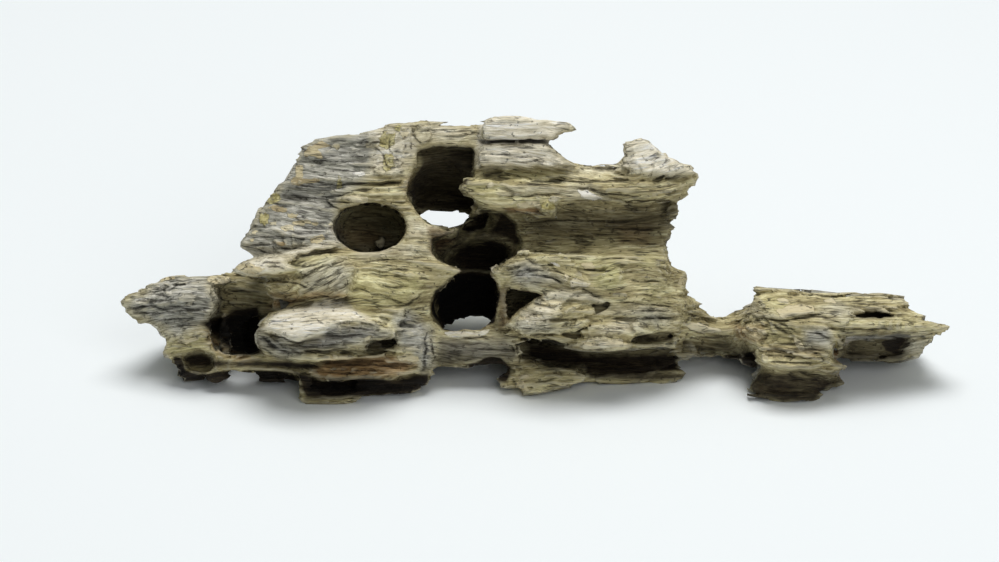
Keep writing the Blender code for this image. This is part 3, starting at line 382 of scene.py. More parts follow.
# Layers that stand proud: how far, how soft the edge, and the corners of the layer
PROUD = (
    # Left tip
    (1, 0.5, -100, 34.6, -92, 35, -90.3, 33, -91.3, 31, -89.8, 30, -88.6, 28.5, -90.5, 26, -92.5, 23,
     -96, 24, -101, 27, -104, 31),
    (0.9, 0.4, -103.5, 17.6, -101, 16.3, -97, 17, -92, 18, -91, 19.4, -94, 20.6, -98, 19.5, -102, 18.6),
    (0.8, 0.3, -92.5, 34.3, -91, 35.6, -88, 36.4, -85.4, 36, -85.5, 34, -88, 33.3, -91, 33.4),
    # Ridge over the lower left tunnel, and its flaky face
    (1.5, 0.4, -84.5, 38, -82.5, 39.4, -78, 40.6, -70, 41.4, -66, 43.4, -61, 45.2, -57, 44.8, -54, 43.6,
     -57, 43, -62, 42.9, -66, 41.3, -69.5, 39, -67.5, 37, -74, 36.2, -79, 35.9, -84, 36.8),
    (1, 0.4, -66, 30, -53, 30.2, -51, 33, -50.5, 38, -53, 41, -58, 42, -64, 40, -67.5, 37.5, -65, 35,
     -67, 32),
    # Bleached lobe, its lower layers and the lip beneath
    (0.8, 0.3, -68, 12.6, -63, 12, -56, 12.2, -50, 13, -44, 13, -42, 14, -47, 14.2, -53, 13.6, -60, 13.8,
     -66, 14),
    (0.9, 0.4, -79.5, 19.5, -77, 15, -74, 13.6, -70.5, 13, -70, 15, -72.5, 17.4, -75, 19.6),
    # Pitted face, its point, and the small grey lobe under it
    (1, 0.4, -46.5, 22.5, -43, 26, -40, 26.7, -35.8, 27, -37.5, 25, -39.2, 23, -38.4, 21.4, -39.5, 19.5,
     -42, 20, -45, 21.6),
    (0.8, 0.3, -38, 21.5, -33, 21.3, -30, 20, -31, 18.4, -36, 18.8, -38.4, 19.6),
    (0.8, 0.3, -39, 15.5, -34, 15.6, -31.5, 14.6, -32, 10.5, -35.5, 10.4, -40, 12.6),
    # Shoulder: chunks between its long cracks
    (0.7, 0.3, -66.5, 61.6, -60, 62, -52, 62.3, -45, 62, -40, 63, -41, 67, -48, 67.4, -56, 67.2, -66, 67.4,
     -68, 64),
    (0.6, 0.3, -72, 56.6, -64, 56.2, -58, 57, -52, 58, -48, 56.8, -52, 55, -58, 53.4, -66, 52, -75, 52.6,
     -76, 54.4),
    (0.8, 0.4, -83.8, 44, -80, 47.6, -73, 49.4, -66, 48.4, -60, 48, -60, 45.4, -68, 43.6, -78, 43.4),
    (1.1, 0.4, -47.6, 73.6, -45.5, 76, -40, 77.8, -35, 78.5, -34.8, 73, -37, 70, -38, 66.5, -38.6, 63.6,
     -43, 63.4, -46, 65, -44, 69, -44.5, 72.4),
    (0.8, 0.4, -34.5, 74, -33, 78.6, -29, 78.8, -29, 74.4, -31, 73),
    # Stacked ledges at the top
    (1.5, 0.3, -15.6, 74.2, -14, 79, -9, 80, -3, 79.8, 3, 78.8, 9, 78.2, 9.6, 76.4, 6.4, 75.8, 4.6, 74,
     -2, 74.2, -9, 73.8),
    (1.3, 0.3, -16, 67, -16, 72.6, -8, 72.8, 2, 72.4, 5, 71, 8.6, 68.6, 11, 66.6, 4, 66.3, -3, 66,
     -9, 66.8),
    (1.5, 0.4, -20.8, 60, -19.6, 62.4, -14, 62.6, -10, 61.4, -2, 61.2, 8, 61.5, 12, 60, 19, 57.4, 12, 56.8,
     6, 56.6, 2, 57, -2, 56.4, -9, 55, -13.4, 55.6, -18, 58),
    (1.1, 0.3, 20, 59, 21, 62.3, 28, 62.4, 33, 61.8, 42.4, 62, 40.8, 58.2, 34, 57.8, 27, 58.6),
    (1.2, 0.3, 26, 66, 31, 64, 36, 64.2, 44.8, 64.4, 42, 66.4, 37, 68.6, 33, 72, 30, 73.6, 26.4, 72,
     27.4, 69),
    (0.7, 0.4, -5, 55, -1, 56.4, 3, 56.4, 6.6, 57.2, 5.6, 53.4, 3.8, 52.6, 2, 54, -2, 54.4),
    # Right spur and the layers under it
    (1, 0.4, -12, 36.6, -8, 38.6, -5, 41.6, -3, 43.6, -1.6, 42.4, -2.6, 40, 0.4, 38.6, 4, 37.6, 3, 36,
     -2, 37.2, -6, 37.4),
    (0.7, 0.3, -5, 36.4, 0, 35.8, 5, 34.8, 9, 32.6, 4, 33.2, -1, 33.6, -6, 34.6),
    (0.8, 0.3, 5, 37.6, 9, 36.4, 13, 36, 16, 33.2, 13, 32.4, 9, 33, 6, 35),
    # Lobe at the lower right of the spur, its pale rim and the layers beside it
    (0.8, 0.3, 3, 30.4, 8, 31.5, 13, 32, 16, 30, 19.6, 27.8, 15, 28.4, 9, 29.4),
    (1.1, 0.4, 10.6, 16, 13, 17.8, 17, 18.6, 22, 17.6, 27.4, 16.6, 26.6, 15, 20, 14.5, 14, 14.7),
    (0.8, 0.4, 13, 20, 16, 22, 22, 23.6, 28, 22.4, 30, 20.6, 27, 18.4, 22, 18.2, 16, 19),
    (0.8, 0.3, 21, 28.6, 27, 28, 35, 27.6, 39.6, 27.6, 40.6, 24.8, 34, 24.4, 26, 24, 21.6, 26),
    (0.7, 0.3, 33, 30.2, 38, 30, 44, 28.6, 48, 24.6, 43, 25, 40, 27, 35, 28.4),
    (0.7, 0.3, 17.6, 33, 20, 38.6, 23.4, 38, 24.6, 34, 22, 32.2),
    (0.7, 0.3, 21, 31, 25, 31, 26.4, 29.8, 24, 28.8, 21.8, 29.2),
    # Claw at the bottom
    (0.9, 0.4, -5.6, 6, -3, 8, 1, 7.6, 4, 8.4, 8, 7.6, 5, 5.4, 1, 4, -2, 2.8, -4.6, 4),
    # Bridge and knob
    (0.8, 0.3, 41.5, 22.4, 44, 22.7, 50, 20.8, 52, 20.2, 48, 19.8, 42, 20.6),
    (0.8, 0.3, 56, 20.4, 61, 22.6, 65, 23.2, 64, 18, 60.6, 17, 57.6, 18.6),
    (0.9, 0.4, 65, 23.6, 70, 22.4, 76, 23.6, 81, 22.8, 84, 18, 82.6, 14, 80, 10.4, 74, 10, 69, 9.6,
     63, 11.2, 62.6, 15, 66, 19),
    (0.7, 0.3, 60, 24.6, 66, 25.2, 74, 25.8, 79, 25.4, 84, 23.4, 92, 23.2, 100, 23.8, 108, 22.4, 114, 20.6,
     104, 20.8, 92, 20.6, 84, 21.6, 78, 23.8, 70, 23.4, 64, 24),
    (0.6, 0.3, 67.5, 25.8, 72, 27.4, 78, 27.4, 78.4, 25.4, 74, 24.4, 68.5, 24.2),
)

# Hollows and worn gaps: how deep, how soft the edge, and the corners
SUNK = (
    (1.3, 1.5, -99, 11, -98, 14, -94, 15, -90.6, 13.4, -89.8, 11, -91, 9.2, -94, 8.4, -97.4, 9.2),
    (1.6, 0.5, -84, 36.2, -79, 35.2, -74, 35.8, -67.6, 36.4, -64, 34.8, -68, 34.6, -75, 34, -80, 34.4),
    (2, 0.4, -56, 13.8, -52, 15, -46, 14.8, -43, 13.8, -50, 13.1),
    (1.5, 0.4, -60, 11.7, -56, 12.1, -50, 12.7, -43, 12.6, -42, 11.2, -50, 10.8, -58, 10.8),
    (1, 0.4, -71.5, 58.6, -68, 60, -62, 60.6, -56, 60.4, -58, 59, -64, 58.4, -70, 57),
    (1, 0.4, -46.5, 61.2, -42, 62.4, -37, 62.6, -38, 61, -44, 60.9),
    (1.1, 0.5, -8, 64.6, -6, 65.9, 2, 65.7, 10, 65.4, 9, 64.4, 2, 63.6, -6, 63.2),
    (1.8, 0.4, -4.6, 18, -1, 18.2, 5, 17.9, 9.4, 16.6, 4, 16.4, -2, 16.6),
    (2, 0.7, 27.4, 17.4, 30, 19.4, 35, 19.8, 38.4, 19.4, 38.4, 16.8, 32, 16.6),
    (1.6, 0.5, 82.4, 18.6, 84, 17, 83.6, 14, 86.4, 11, 84, 11.4, 82.6, 14.4),
    (1.2, 0.4, 57, 22, 60.6, 23.2, 61, 22.6, 57, 21),
    (3, 0.4, -23, 47, -20, 50, -15, 54.5, -12, 54.2, -8, 52.4, -4.8, 48.4, -4, 44.4, -6, 41.2, -10, 38.6,
     -13, 37.2, -21, 37.6, -26, 39.6, -28.4, 42, -28.6, 46),
    (1.6, 0.4, 59, 9.6, 63, 11, 68, 9.4, 74, 9.2, 82, 8.8, 88, 9.6, 89, 4, 80, 2.6, 60, 2.6),
    (1.8, 0.8, 87, 19, 96, 20, 104, 19.6, 105, 16.8, 102, 14, 98, 13, 87, 13.4),
    (1.6, 0.5, 41, 17.4, 52, 18.6, 59, 16, 62, 12, 50, 14.4, 41, 14.4),
)

# Cracks, by how wide and how deep they are: the stops along each one's line
CRACKS = (
    (0.9, 1.5, ((-115.5, 26.3, -112, 26.8, -108, 27.3, -104, 26.5, -100, 27, -96, 26, -92, 26.5),)),
    (0.9, 1, ((64.6, 23, 67, 21.6, 70, 20, 72.6, 18),)),
    (0.8, 1.3, ((-74, 19, -71, 18.2, -69, 17.3, -67, 16.9, -63, 17.5, -60, 17.9),)),
    (0.8, 1, ((-76, 18.4, -73, 15.6, -68, 13.6),)),
    (0.8, 0.9, (
        (66.6, 23.4, 70, 21.6, 74, 19.2), (-62, 24.4, -60, 22.6, -58, 21.4),
        (-78, 33.6, -72, 34.4, -66, 33.2, -62, 31.6),
    )),
    (0.7, 1.3, (
        (-30.2, 20, -31, 17.4, -30.4, 15, -31.2, 12.4, -31, 10.6, -32.2, 8.8),
        (11, 60, 15, 60.2, 17, 59.2, 20, 58.4, 28, 58.5), (12.6, 32.4, 16, 30.6, 20, 28.6),
    )),
    (0.7, 1.2, (
        (-71, 58.3, -66, 58, -60, 57.6, -55, 57.9, -50, 59.4, -45, 60),
        (-3.6, 42, -2.8, 40.2, -0.6, 38.9, 3, 38),
    )),
    (0.7, 1, ((-50, 32.4, -46, 31, -40, 29, -36, 27.6),)),
    (0.7, 0.9, (
        (76, 19.4, 80, 19.2, 82.6, 18), (-70, 16.6, -64, 15.4, -57, 15.6, -50, 15.2),
        (-60, 19.2, -54, 18.6, -48, 19.4), (-54, 20.6, -49, 20.9, -44, 20.2),
    )),
    (0.6, 1.2, (
        (-67, 10.4, -62, 10.6, -59, 9), (-40, 27, -36, 27.6, -33, 29.4, -31, 31.4),
        (-67, 61.4, -60, 61.4, -56, 61, -50, 61.6, -44, 61.5, -37, 62.2),
        (-3, 61.8, 4, 62.1, 12, 62, 20, 62.2, 28, 62.2),
    )),
    (0.6, 1.1, ((59, 22.4, 64, 23.7, 70, 22.9, 76, 24, 80, 24.1, 86, 22.2),)),
    (0.6, 1, (
        (-113, 25.2, -106, 25, -99, 25.7, -93, 25), (-112, 28.6, -108, 28.3, -104, 28.8, -100, 29.2),
        (-90, 32.4, -84, 31.5, -79, 31), (-62, 33.4, -58, 35.2, -52, 37.6),
        (-77.5, 19, -74.6, 16.4, -72, 14.5), (-28.6, 19, -29, 16, -28.2, 13, -28.8, 10.4),
        (-80.6, 44.2, -74, 44.5, -70, 43.2, -64, 43.3), (22, 57.2, 28, 56.6, 36, 57, 40, 56),
        (-9, 21.5, -5, 20.9, 0, 20.7, 6, 20.9), (-6, 17.6, -4.6, 14, -4.4, 11),
        (64, 15.6, 70, 14.7, 76, 15.4, 81, 14.6),
    )),
    (0.6, 0.8, (
        (66, 18, 70, 16.4, 74, 16), (64, 14.6, 70, 14.2, 76, 14.6, 81, 13.6),
        (86, 28.4, 92, 28.6, 98, 27.6), (-70, 38.6, -64, 38, -58, 39.6), (-64, 36, -60, 37, -56, 39.4),
        (-60, 32.4, -56, 34.6, -52.6, 38), (-48, 36.4, -42, 35.6, -36, 35.6),
    )),
    (0.5, 1, (
        (-109, 30, -106, 30.3, -100, 29.5), (-109, 32, -103, 31.7, -101, 33, -96, 34, -92, 34.5),
        (-72, 57, -66, 57.1, -62, 56.5, -55, 56.1, -50, 56.3), (-15, 69.9, -9, 69.6, -3, 69, 2, 68.6),
        (-8, 61.3, -2, 61, 6, 61.6), (20, 63.8, 26.6, 63.9, 27.6, 63.4),
        (22, 28.2, 28, 27.8, 36, 27.4, 41, 25.4), (24, 26.2, 30, 25.6, 40, 25.8),
        (-4.4, 19.2, 2, 18.9, 8, 19.3),
    )),
    (0.5, 0.9, (
        (-100, 30.2, -96, 30.8, -92, 31.6), (-66, 31.6, -61, 33, -56, 34.6),
        (-65, 36.2, -60, 38, -52, 40.4), (-60, 31, -55, 32.2, -52, 33.4), (-63, 34, -60.4, 34.4, -57, 36.6),
        (-58, 21.4, -55, 22.5, -50, 22.7, -45, 21.7, -42, 20.4), (-72, 14.2, -66, 14.4, -58, 14.4, -50, 15),
        (-75, 19.5, -72.6, 17.4, -70, 15.5), (-78, 16.5, -75, 14.4, -72, 12.5),
        (-58, 10.4, -50, 10.8, -43, 10.6, -36, 10.6), (-50, 38.9, -44, 39.9, -38, 40.3, -30, 40.6),
        (-48, 37.6, -42, 38.3, -34, 38.4), (-66, 67.7, -60, 67.9, -52, 67.6, -46, 67.3),
        (-70, 60.9, -64, 60.7, -58, 60.2, -52, 60.6), (-70, 48, -64, 47.5, -58, 48),
        (-80, 46, -74, 46.5, -68, 46.3, -62, 45.4), (-79, 42.6, -73, 42.2, -69, 41.3),
        (-68, 51.2, -60, 50.6, -56, 50.8), (-60, 58.6, -57.6, 55.6, -54, 53.8),
        (-74, 55.6, -70, 55.2, -67, 54.6), (-46, 72.6, -43, 70, -42, 66.4, -39, 64),
        (-50, 74, -47, 72.4, -44, 73.4, -41, 72), (-47, 74.6, -45, 74.9, -43, 76),
        (-34.6, 77.6, -34, 74.6, -32, 73.1, -28.6, 74), (-16.4, 79, -16, 76, -15.4, 73),
        (12, 65.8, 20, 65.6, 25, 66), (22, 60.8, 30, 60.6, 38, 60.8), (26, 59.4, 34, 59.4, 41, 59.6),
        (-4, 50.4, 3, 51.1, 12, 51.2, 24, 50.8, 36, 51.3), (8, 45.9, 14, 45.3, 18, 44.2),
        (-3.8, 42.4, -2.4, 43, -1.6, 42, -2.6, 41), (-6, 38, -2, 37.2, 3, 36.9),
        (-5, 36.4, 0, 35.9, 5, 34.9, 9, 32.6), (-1, 38.9, 4, 38.2, 7, 36.4, 9.4, 34),
        (18, 38, 20, 36, 23, 35), (22, 36.6, 28, 36.8, 33, 36.2),
        (26, 30.8, 26.4, 29.6, 24, 28.8, 21.6, 29.2), (34, 33.4, 36.6, 33.8, 38, 32.8, 35.6, 32.4),
        (20, 24.2, 26, 23.6, 34, 24, 41, 23.2), (15, 21.4, 20, 20.6, 26, 20.4),
        (40, 26.8, 44, 24.6, 49, 23.6), (39, 20, 40.4, 17.6, 38.6, 15.4),
        (-9, 17.4, -6.4, 15.6, -5.4, 12.6), (41, 21.2, 46, 20, 52, 20.2), (74, 24.6, 80, 24.6, 84, 23.2),
        (64, 11.6, 72, 11.2, 80, 11.4), (86, 20.9, 94, 20.5, 102, 20.9), (69, 6, 74, 6.6, 80, 6, 86, 6.4),
        (72, 8.6, 78, 8, 84, 8.4), (84, 21, 86, 17.6, 84.6, 15.4),
    )),
    (0.5, 0.8, (
        (-98, 18, -94, 18.9, -92, 18.7), (-88, 27.5, -83, 27.7, -79, 28), (-78, 37.6, -72, 38.2, -69, 37),
        (-58, 36, -54, 38, -51.6, 39), (-64, 41, -58, 42.4, -54, 42),
        (-74, 27.6, -68, 28.6, -60, 29.9, -53, 29.6), (-71.8, 25.4, -70.4, 23.4), (-68, 24.6, -67.2, 23),
        (-24, 17.8, -18, 18, -12, 19), (-24, 12.4, -19, 12.2, -14, 13.4), (-7, 57.6, -2, 58, 6, 58.6),
        (27, 48, 28.6, 46, 32, 45.4), (11, 37.4, 18, 37, 23, 37.2), (8.6, 16.4, 11, 15.2, 14, 14.8),
        (-9, 6.2, -6, 6.8, -4.4, 4), (-1, 5.2, 3, 6.4, 8, 7), (63, 13, 70, 13.2, 76, 12.6, 82, 12.8),
        (66, 28.6, 70, 28.2, 77, 28.4), (104, 22.6, 106, 22.2, 104, 21.8),
    )),
    (0.5, 0.7, ((-46, 33.8, -41, 32.4, -36, 32.6), (-66, 24.2, -65.2, 23.4))),
    (0.4, 0.8, (
        (-104, 33.6, -98, 34.6, -94, 34), (-62, 16.2, -56, 16.6, -48, 17.4),
        (-47, 36.2, -40, 37.1, -33, 37.4), (-39, 23.2, -34, 23, -31, 22), (-39, 18.4, -34, 18.2, -31, 17.6),
        (-40, 16, -35, 16.2, -31.6, 15.6), (-64, 69.7, -58, 69.5, -50, 69, -44, 69.3),
        (-66, 49.7, -60, 49.4, -57, 48.4), (-66, 54.6, -61, 54, -57, 53, -55, 51.7),
        (-64, 53, -59, 52.4, -56.4, 50.6), (-76, 50.6, -72, 51.2, -69, 50.6),
        (-40.6, 75.4, -41, 71, -38.6, 68, -38.6, 64.6), (-44, 67, -40.4, 66, -37, 67),
        (-37, 75, -36.4, 71.6, -37.6, 69.6), (-9, 67.5, -3, 67.6, 3, 67.8),
        (-8, 77.8, -4.6, 77.4, -3.8, 76.8), (-2.6, 70.6, -1.6, 68.6), (9, 47.6, 14, 46.8, 24, 47.4),
        (5, 46.6, 12, 46.4, 19, 46), (20, 49, 28, 48.6, 35, 49), (6, 53.6, 13, 53.3, 20, 54.4),
        (-6, 34.8, -1, 34, 4, 33.4), (7, 36, 8, 34.4, 9.4, 33.2), (24, 34.8, 30, 34, 37, 34.6),
        (18.6, 31.4, 21, 31), (33, 29.4, 38, 29.4, 42, 28), (28, 22, 34, 22.2, 39.4, 21.6),
        (41, 24.4, 45, 23.6, 49, 23.2), (2, 27.1, 5, 27, 9, 27.6), (3, 23.6, 8, 23.4, 13, 24),
        (10, 26, 15, 26.4), (27, 18.4, 33, 18.9, 38, 18.4), (66, 23, 68, 20.6, 71, 19),
        (70, 21, 72.6, 18.6, 74.6, 17.8), (78, 29.4, 82, 30, 86, 29.6), (86, 27.4, 92, 27, 99, 28),
        (92, 22, 100, 21.4, 106, 21.8),
    )),
    (0.4, 0.7, (
        (-106, 23.4, -100, 23.6, -95, 24.2), (-103, 21.6, -98, 22, -94, 21.6),
        (-80, 38.6, -75, 39.4, -70, 39), (-54, 20, -51, 20.7, -49.8, 20.3, -51, 19.8),
        (-69, 21.7, -68, 21.2), (-61.8, 24.1, -61, 23.8), (-65.4, 20.3, -64.6, 20.2),
        (-54, 9, -46, 9.4, -40, 8.8), (-44, 33.4, -41.8, 33.2, -41, 32.8),
        (-38, 21.4, -34, 21.5, -30.4, 20.6), (-25.8, 19.4, -25.6, 16.6),
        (-26, 14.4, -20, 14.6, -14, 15.4, -9, 15), (-60, 65, -54, 65.3, -48, 65),
        (-29, 76.6, -23.4, 76, -17, 76.4), (-10, 72, -4, 71.8, 1, 71.4), (1.4, 77.4, 5, 77.1, 7, 77.6),
        (-14, 60.4, -10, 60, -4, 59.4), (22, 45.6, 30, 45, 35, 44), (-4, 24.6, 0, 24.8, 3, 25.6),
        (0, 8.6, 5, 9.4, 9, 8.8), (42, 18.6, 50, 18.4, 58, 18.8), (70, 30, 76, 30.3, 82, 30.2),
    )),
    (0.4, 0.6, (
        (-60, 9.2, -54, 8, -48, 8.4), (-38, 43, -33, 42.8, -29, 42.4), (-22, 16, -16, 16.6, -11, 16.6),
        (-28, 74.6, -22, 74.7, -17, 75.4), (0, 42.6, 8, 42, 16, 41.8),
        (6, 40.8, 14, 40.2, 24, 40.4, 32, 39.6),
    )),
)

# Planes worn on the wood: how proud at a first place and at a second, the two places, and
# the corners
PLANES = (
    (0.6, 1.9, -60, 28.6, -63, 19.6, -79, 19.8, -76, 21.5, -74, 24, -72, 25.7, -66, 26.5, -62, 28,
     -58, 28.7, -54, 28.5, -52, 26.5, -50, 25, -47, 23, -44, 21.5, -40, 20, -39, 19, -42, 20, -44.4, 21.2,
     -47, 22.2, -50, 22.5, -53, 22.4, -55.6, 22, -57.5, 21.2, -59.6, 20.4, -62, 19.4, -65, 18.4, -67, 17.7,
     -69, 17.7, -71, 18.4, -73, 19.7, -76, 20.4),
    (-0.2, 0.9, -50, 22.4, -49.6, 18, -57.4, 21, -55.4, 21.9, -53, 22.3, -50, 22.4, -47, 22.1, -44.4, 21.1,
     -42, 19.9, -39, 18.8, -43, 18.3, -47, 18, -50, 17.6, -54, 18.8),
    (-1.2, 0.9, -56, 18.6, -56, 15.4, -68, 16.6, -66, 16.8, -62, 18.2, -58, 20, -54.6, 18.6, -51, 17.5,
     -47, 17.9, -46, 17.4, -48.6, 16, -54, 15.4, -60, 15, -66, 14.6),
    (-1, 0.8, -60, 15, -60, 12.2, -70, 14.4, -66, 14.5, -60, 14.9, -54, 15.2, -50, 14.2, -51, 12.9,
     -58, 12.2, -66, 11.9, -70, 12.4),
    (0.6, -1.2, -79, 18, -70, 15, -79, 19.7, -76, 20.3, -73, 19.5, -71, 18.2, -70, 17.2, -69.4, 13,
     -74, 13.4, -77.8, 15),
    (1.4, -0.4, -3, 27.6, 8, 20.8, -8.4, 21.8, -5, 25.2, -1, 28.2, 4, 30.5, 9, 31.6, 13, 32, 15.5, 30,
     16.6, 27.4, 14.6, 25.4, 13.6, 23.4, 10, 21.4, 4, 20.8, -4, 20.4),
    (-0.8, 1.2, 72, 22, 72, 10, 62.4, 14, 63, 16.8, 66, 19, 70, 20.6, 76, 21.4, 82, 20.6, 83.4, 16,
     82.4, 11, 80, 9.4, 74, 8.9, 69, 9.1, 64, 10.6),
)

# Thin raised lines along worn edges: how wide, how high, and the stops
RIMS = (
    (0.7, 0.8, -100, 13.8, -98.8, 11, -97, 9, -94, 8, -90.5, 8.8),
    (0.7, 0.7, -88.5, 9.3, -85, 10, -80, 10, -76, 9.8, -70, 9.4, -66, 8.8),
    (0.7, 0.8, -66, 9.4, -62, 8.9, -60.5, 7, -59, 6.1, -54, 6.6, -50, 7.5, -46, 7.2, -41, 6.8, -38, 8,
     -34, 9.2, -31.6, 10),
    (0.7, 0.8, -66, 12, -60, 12.5, -54, 12.3, -48, 13, -43, 13.3, -41.5, 15),
    (0.5, 0.6, -81, 29, -78.5, 27, -77.3, 24, -76.2, 22.5),
    (0.5, 0.7, -64.5, 1.2, -58, 1.6, -52, 1.8, -49, 3), (0.6, 0.8, -4.5, 18.6, 3, 18.5, 8, 17.4, 11, 15.9),
    (0.5, 0.8, -4.6, 19.7, 1, 19.8, 7.2, 19.6), (0.5, 0.5, 28, 16.2, 33, 16.3, 38, 16.4),
    (0.6, 0.7, -25, 19.5, -18, 18.7, -13, 19.6),
    (0.5, 0.7, -32.6, 53.6, -30, 56, -27, 58, -23, 59.2, -20.6, 59),
    (0.5, 0.6, -31, 54.2, -28, 56.2, -24, 57.2, -20, 56.6, -17.6, 55.4),
    (0.5, 0.6, 6, 7.4, 14, 7.2, 24, 7.5), (0.7, 0.6, -8.4, 21.8, -5, 25.2, -1, 28.2, 3, 30.3, 8, 31.4),
    (0.5, 0.6, 62.5, 11, 67, 10, 69, 9.2, 75, 9.8, 82, 9.3),
)

# The marks make one sheet of relief, in millimetres proud of the plain form
PLANE_EDGE = 0.3
relief = np.zeros(SHEET_SHAPE, np.float32)
for first, second, xa, ua, xb, ub, *corners in PLANES:
    window, far = from_mark(corners, True)
    way = ((sheet_across[window] - xa) * (xb - xa) + (sheet_up[window] - ua) * (ub - ua))
    way = np.clip(way / ((xb - xa) ** 2 + (ub - ua) ** 2), -0.3, 1.3)
    relief[window] += (first + (second - first) * way) * part_inside(far, PLANE_EDGE)
for marks, sign in ((PROUD, 1.0), (SUNK, -1.0)):
    for height, soft, *corners in marks:
        window, far = from_mark(corners, True)
        relief[window] += sign * height * part_inside(far, soft)
for wide, high, *stops in RIMS:
    window, far = from_mark(stops, False)
    relief[window] += high * np.clip(1.2 - far / wide, 0.0, 1.0)
near_crack = np.full(SHEET_SHAPE, 5.0, np.float32)
for wide, depth, lines in CRACKS:
    for stops in lines:
        window, far = from_mark(stops, False)
        relief[window] -= 0.6 * depth * np.clip(1.1 - far / wide, 0.0, 1.0)
        near_crack[window] = np.minimum(near_crack[window], far - 0.3 * wide)

# Where the grain turns from level: the middle of the place across and up, how wide and how
# high it is, and the slope
GRAIN_TURNS = (
    (-103, 29, 14, 9, -0.12),
    (-60, 36, 13, 8, -0.3),
    (-70, 52, 14, 8, 0.08),
    (4, 35, 12, 5, 0.25),
    (-66, 23, 14, 5, -0.12),
    (70, 18, 9, 7, 0.12),
)


def grain(points):
    """Where points lie in the wood's own layers: along the grain, around it, and across it."""
    wander = ripple(points, (34, 17, 17), 1) * 6.0 + ripple(points, (13, 8, 8), 2) * 2.0
    across, up, back = seen(points)
    layer = up + wander
    for x, u, wide, high, slope in GRAIN_TURNS:
        pull = np.exp(-((across - x) / wide) ** 2 - ((up - u) / high) ** 2)
        layer += slope * (across - x) * pull
    return np.stack([points[:, 0], back, layer], axis=1).astype(np.float32)


def ledges(layers, thick, start):
    """A sawtooth from 0 to 1 over layers of wood that weather back one under another."""
    steps = layers[:, 2] / thick + ripple(layers, (22, 11, 5 * thick), start) * 2.2
    return 1.0 - (steps - np.floor(steps))


# Smooth places, where the weather has left little relief: how smooth, and the corners
SMOOTH_EDGE = 1.5
SMOOTH = (
    (0.7, -52, 43, -44, 42.4, -36, 44, -29, 48, -28.5, 42, -36, 40.6, -50, 40),
    (0.6, -52, 37, -44, 37, -33, 36, -32, 31, -38, 28, -48, 26, -52, 30),
    (0.5, -3, 43, 8, 44.5, 34, 42, 36, 39, 24, 38.6, 8, 39.6, -1, 40),
    (0.5, -78, 20, -70, 26, -58, 28.6, -50, 25, -57, 20.6, -70, 18),
    (0.6, -30, 78, -17, 78, -17, 74, -28, 74), (0.6, -15, 79, 0, 79, 5, 75, -14, 74.6),
    (0.5, 66, 30, 90, 30, 84, 26, 66, 24),
    (0.95, -58, 50, -53, 55, -46, 57, -39, 56, -35, 51, -38, 44, -45, 41, -53, 42.4, -57, 46),
    (0.95, -37, 58, -34, 71.6, -25, 73.4, -16, 72.6, -17, 64, -21, 61, -14, 54, -22, 47.6, -31, 49,
     -34, 53),
    (0.95, -31, 47, -22, 49, -14, 55, -6, 52, -3, 44, -12, 36, -8, 30, -11, 20, -26, 18.6, -31, 24,
     -30.4, 31, -21, 36.6, -29, 41),
    (0.8, -28, 19, -8, 19, -6, 11, -12, 12.6, -27, 9),
)

# The weather's relief: broad waves, plates and ledges of the layers, threads, splits and pits,
# all long with the grain, and fainter in the tunnels and in narrow hollows
MOST_SUNK, MOST_PROUD = -3.4, 3.0
index, spots = skin_cells(4.2)
across, up, facing = on_front(spots)
smooth = np.zeros(SHEET_SHAPE, np.float32)
for amount, *corners in SMOOTH:
    window, far = from_mark(corners, True)
    smooth[window] = np.maximum(smooth[window], amount * part_inside(far, SMOOTH_EDGE))
rough = 1.0 - read_sheet(smooth, across, up) * facing
hollow = blur(blur(np.clip(0.5 - distance, 0.0, 1.0), 6), 6).ravel()[index]
rough *= np.clip(1.0 - (hollow - 0.53) * 8.0, 0.08, 1.0)
layers = grain(spots)
broad = ripple(layers, (38, 13, 5.0), 3) - 0.5
wide_ledges = (ledges(layers, 4.2, 6) - 0.5) * patches(layers, (24, 14, 9), 7, 3.2, 1.1)
thin_ledges = (ledges(layers, 1.7, 8) - 0.5) * patches(layers, (15, 9, 5), 9, 3.0, 0.9)
threads = np.abs(2.0 * ripple(layers, (11, 4, 1.3), 5) - 1.0)
splits = 1.0 - np.abs(ripple(layers, (15, 6, 2.6), 10) - 0.5) / 0.09
splits = np.clip(splits, 0.0, 1.0) * patches(layers, (9, 7, 5), 12, 4.0, 1.8)
plates = ripple(layers, (17, 9, 5), 15) * 6.0
plates = np.round(plates) - plates
pits = patches(layers, (2.2, 1.6, 1.1), 13, 6.0, 4.9)
raised = plates * 0.9 + wide_ledges * 1.3 + thin_ledges * 0.7
raised += (np.sqrt(threads) - 0.6) * 0.4 - splits * 0.6 - pits * 0.4
raised = broad * 1.2 + rough * raised + read_sheet(relief, across, up) * facing
distance.ravel()[index] -= np.clip(raised, MOST_SUNK, MOST_PROUD)


# The carved block becomes a skin again: one closed mesh, thinned most where it isn't seen
WOOD_TRIANGLES = 195000
wood_grid.copyFromArray(distance, ijk=tuple(int(i) for i in first_cell))
skin_points, skin_quads = wood_grid.convertToQuads(isovalue=0.0)
wood_mesh = bpy.data.meshes.new("honeycomb_wood_skin")
wood_mesh.vertices.add(len(skin_points))
wood_mesh.vertices.foreach_set("co", (skin_points * 0.001).astype(np.float32).ravel())
wood_mesh.loops.add(skin_quads.size)
wood_mesh.loops.foreach_set("vertex_index", skin_quads[:, ::-1].astype(np.int32).ravel())
wood_mesh.polygons.add(len(skin_quads))
wood_mesh.polygons.foreach_set("loop_start", np.arange(0, skin_quads.size, 4, dtype=np.int32))
wood_mesh.update(calc_edges=True)
wood = bpy.data.objects.new("weathered_wood", wood_mesh)
bpy.context.collection.objects.link(wood)

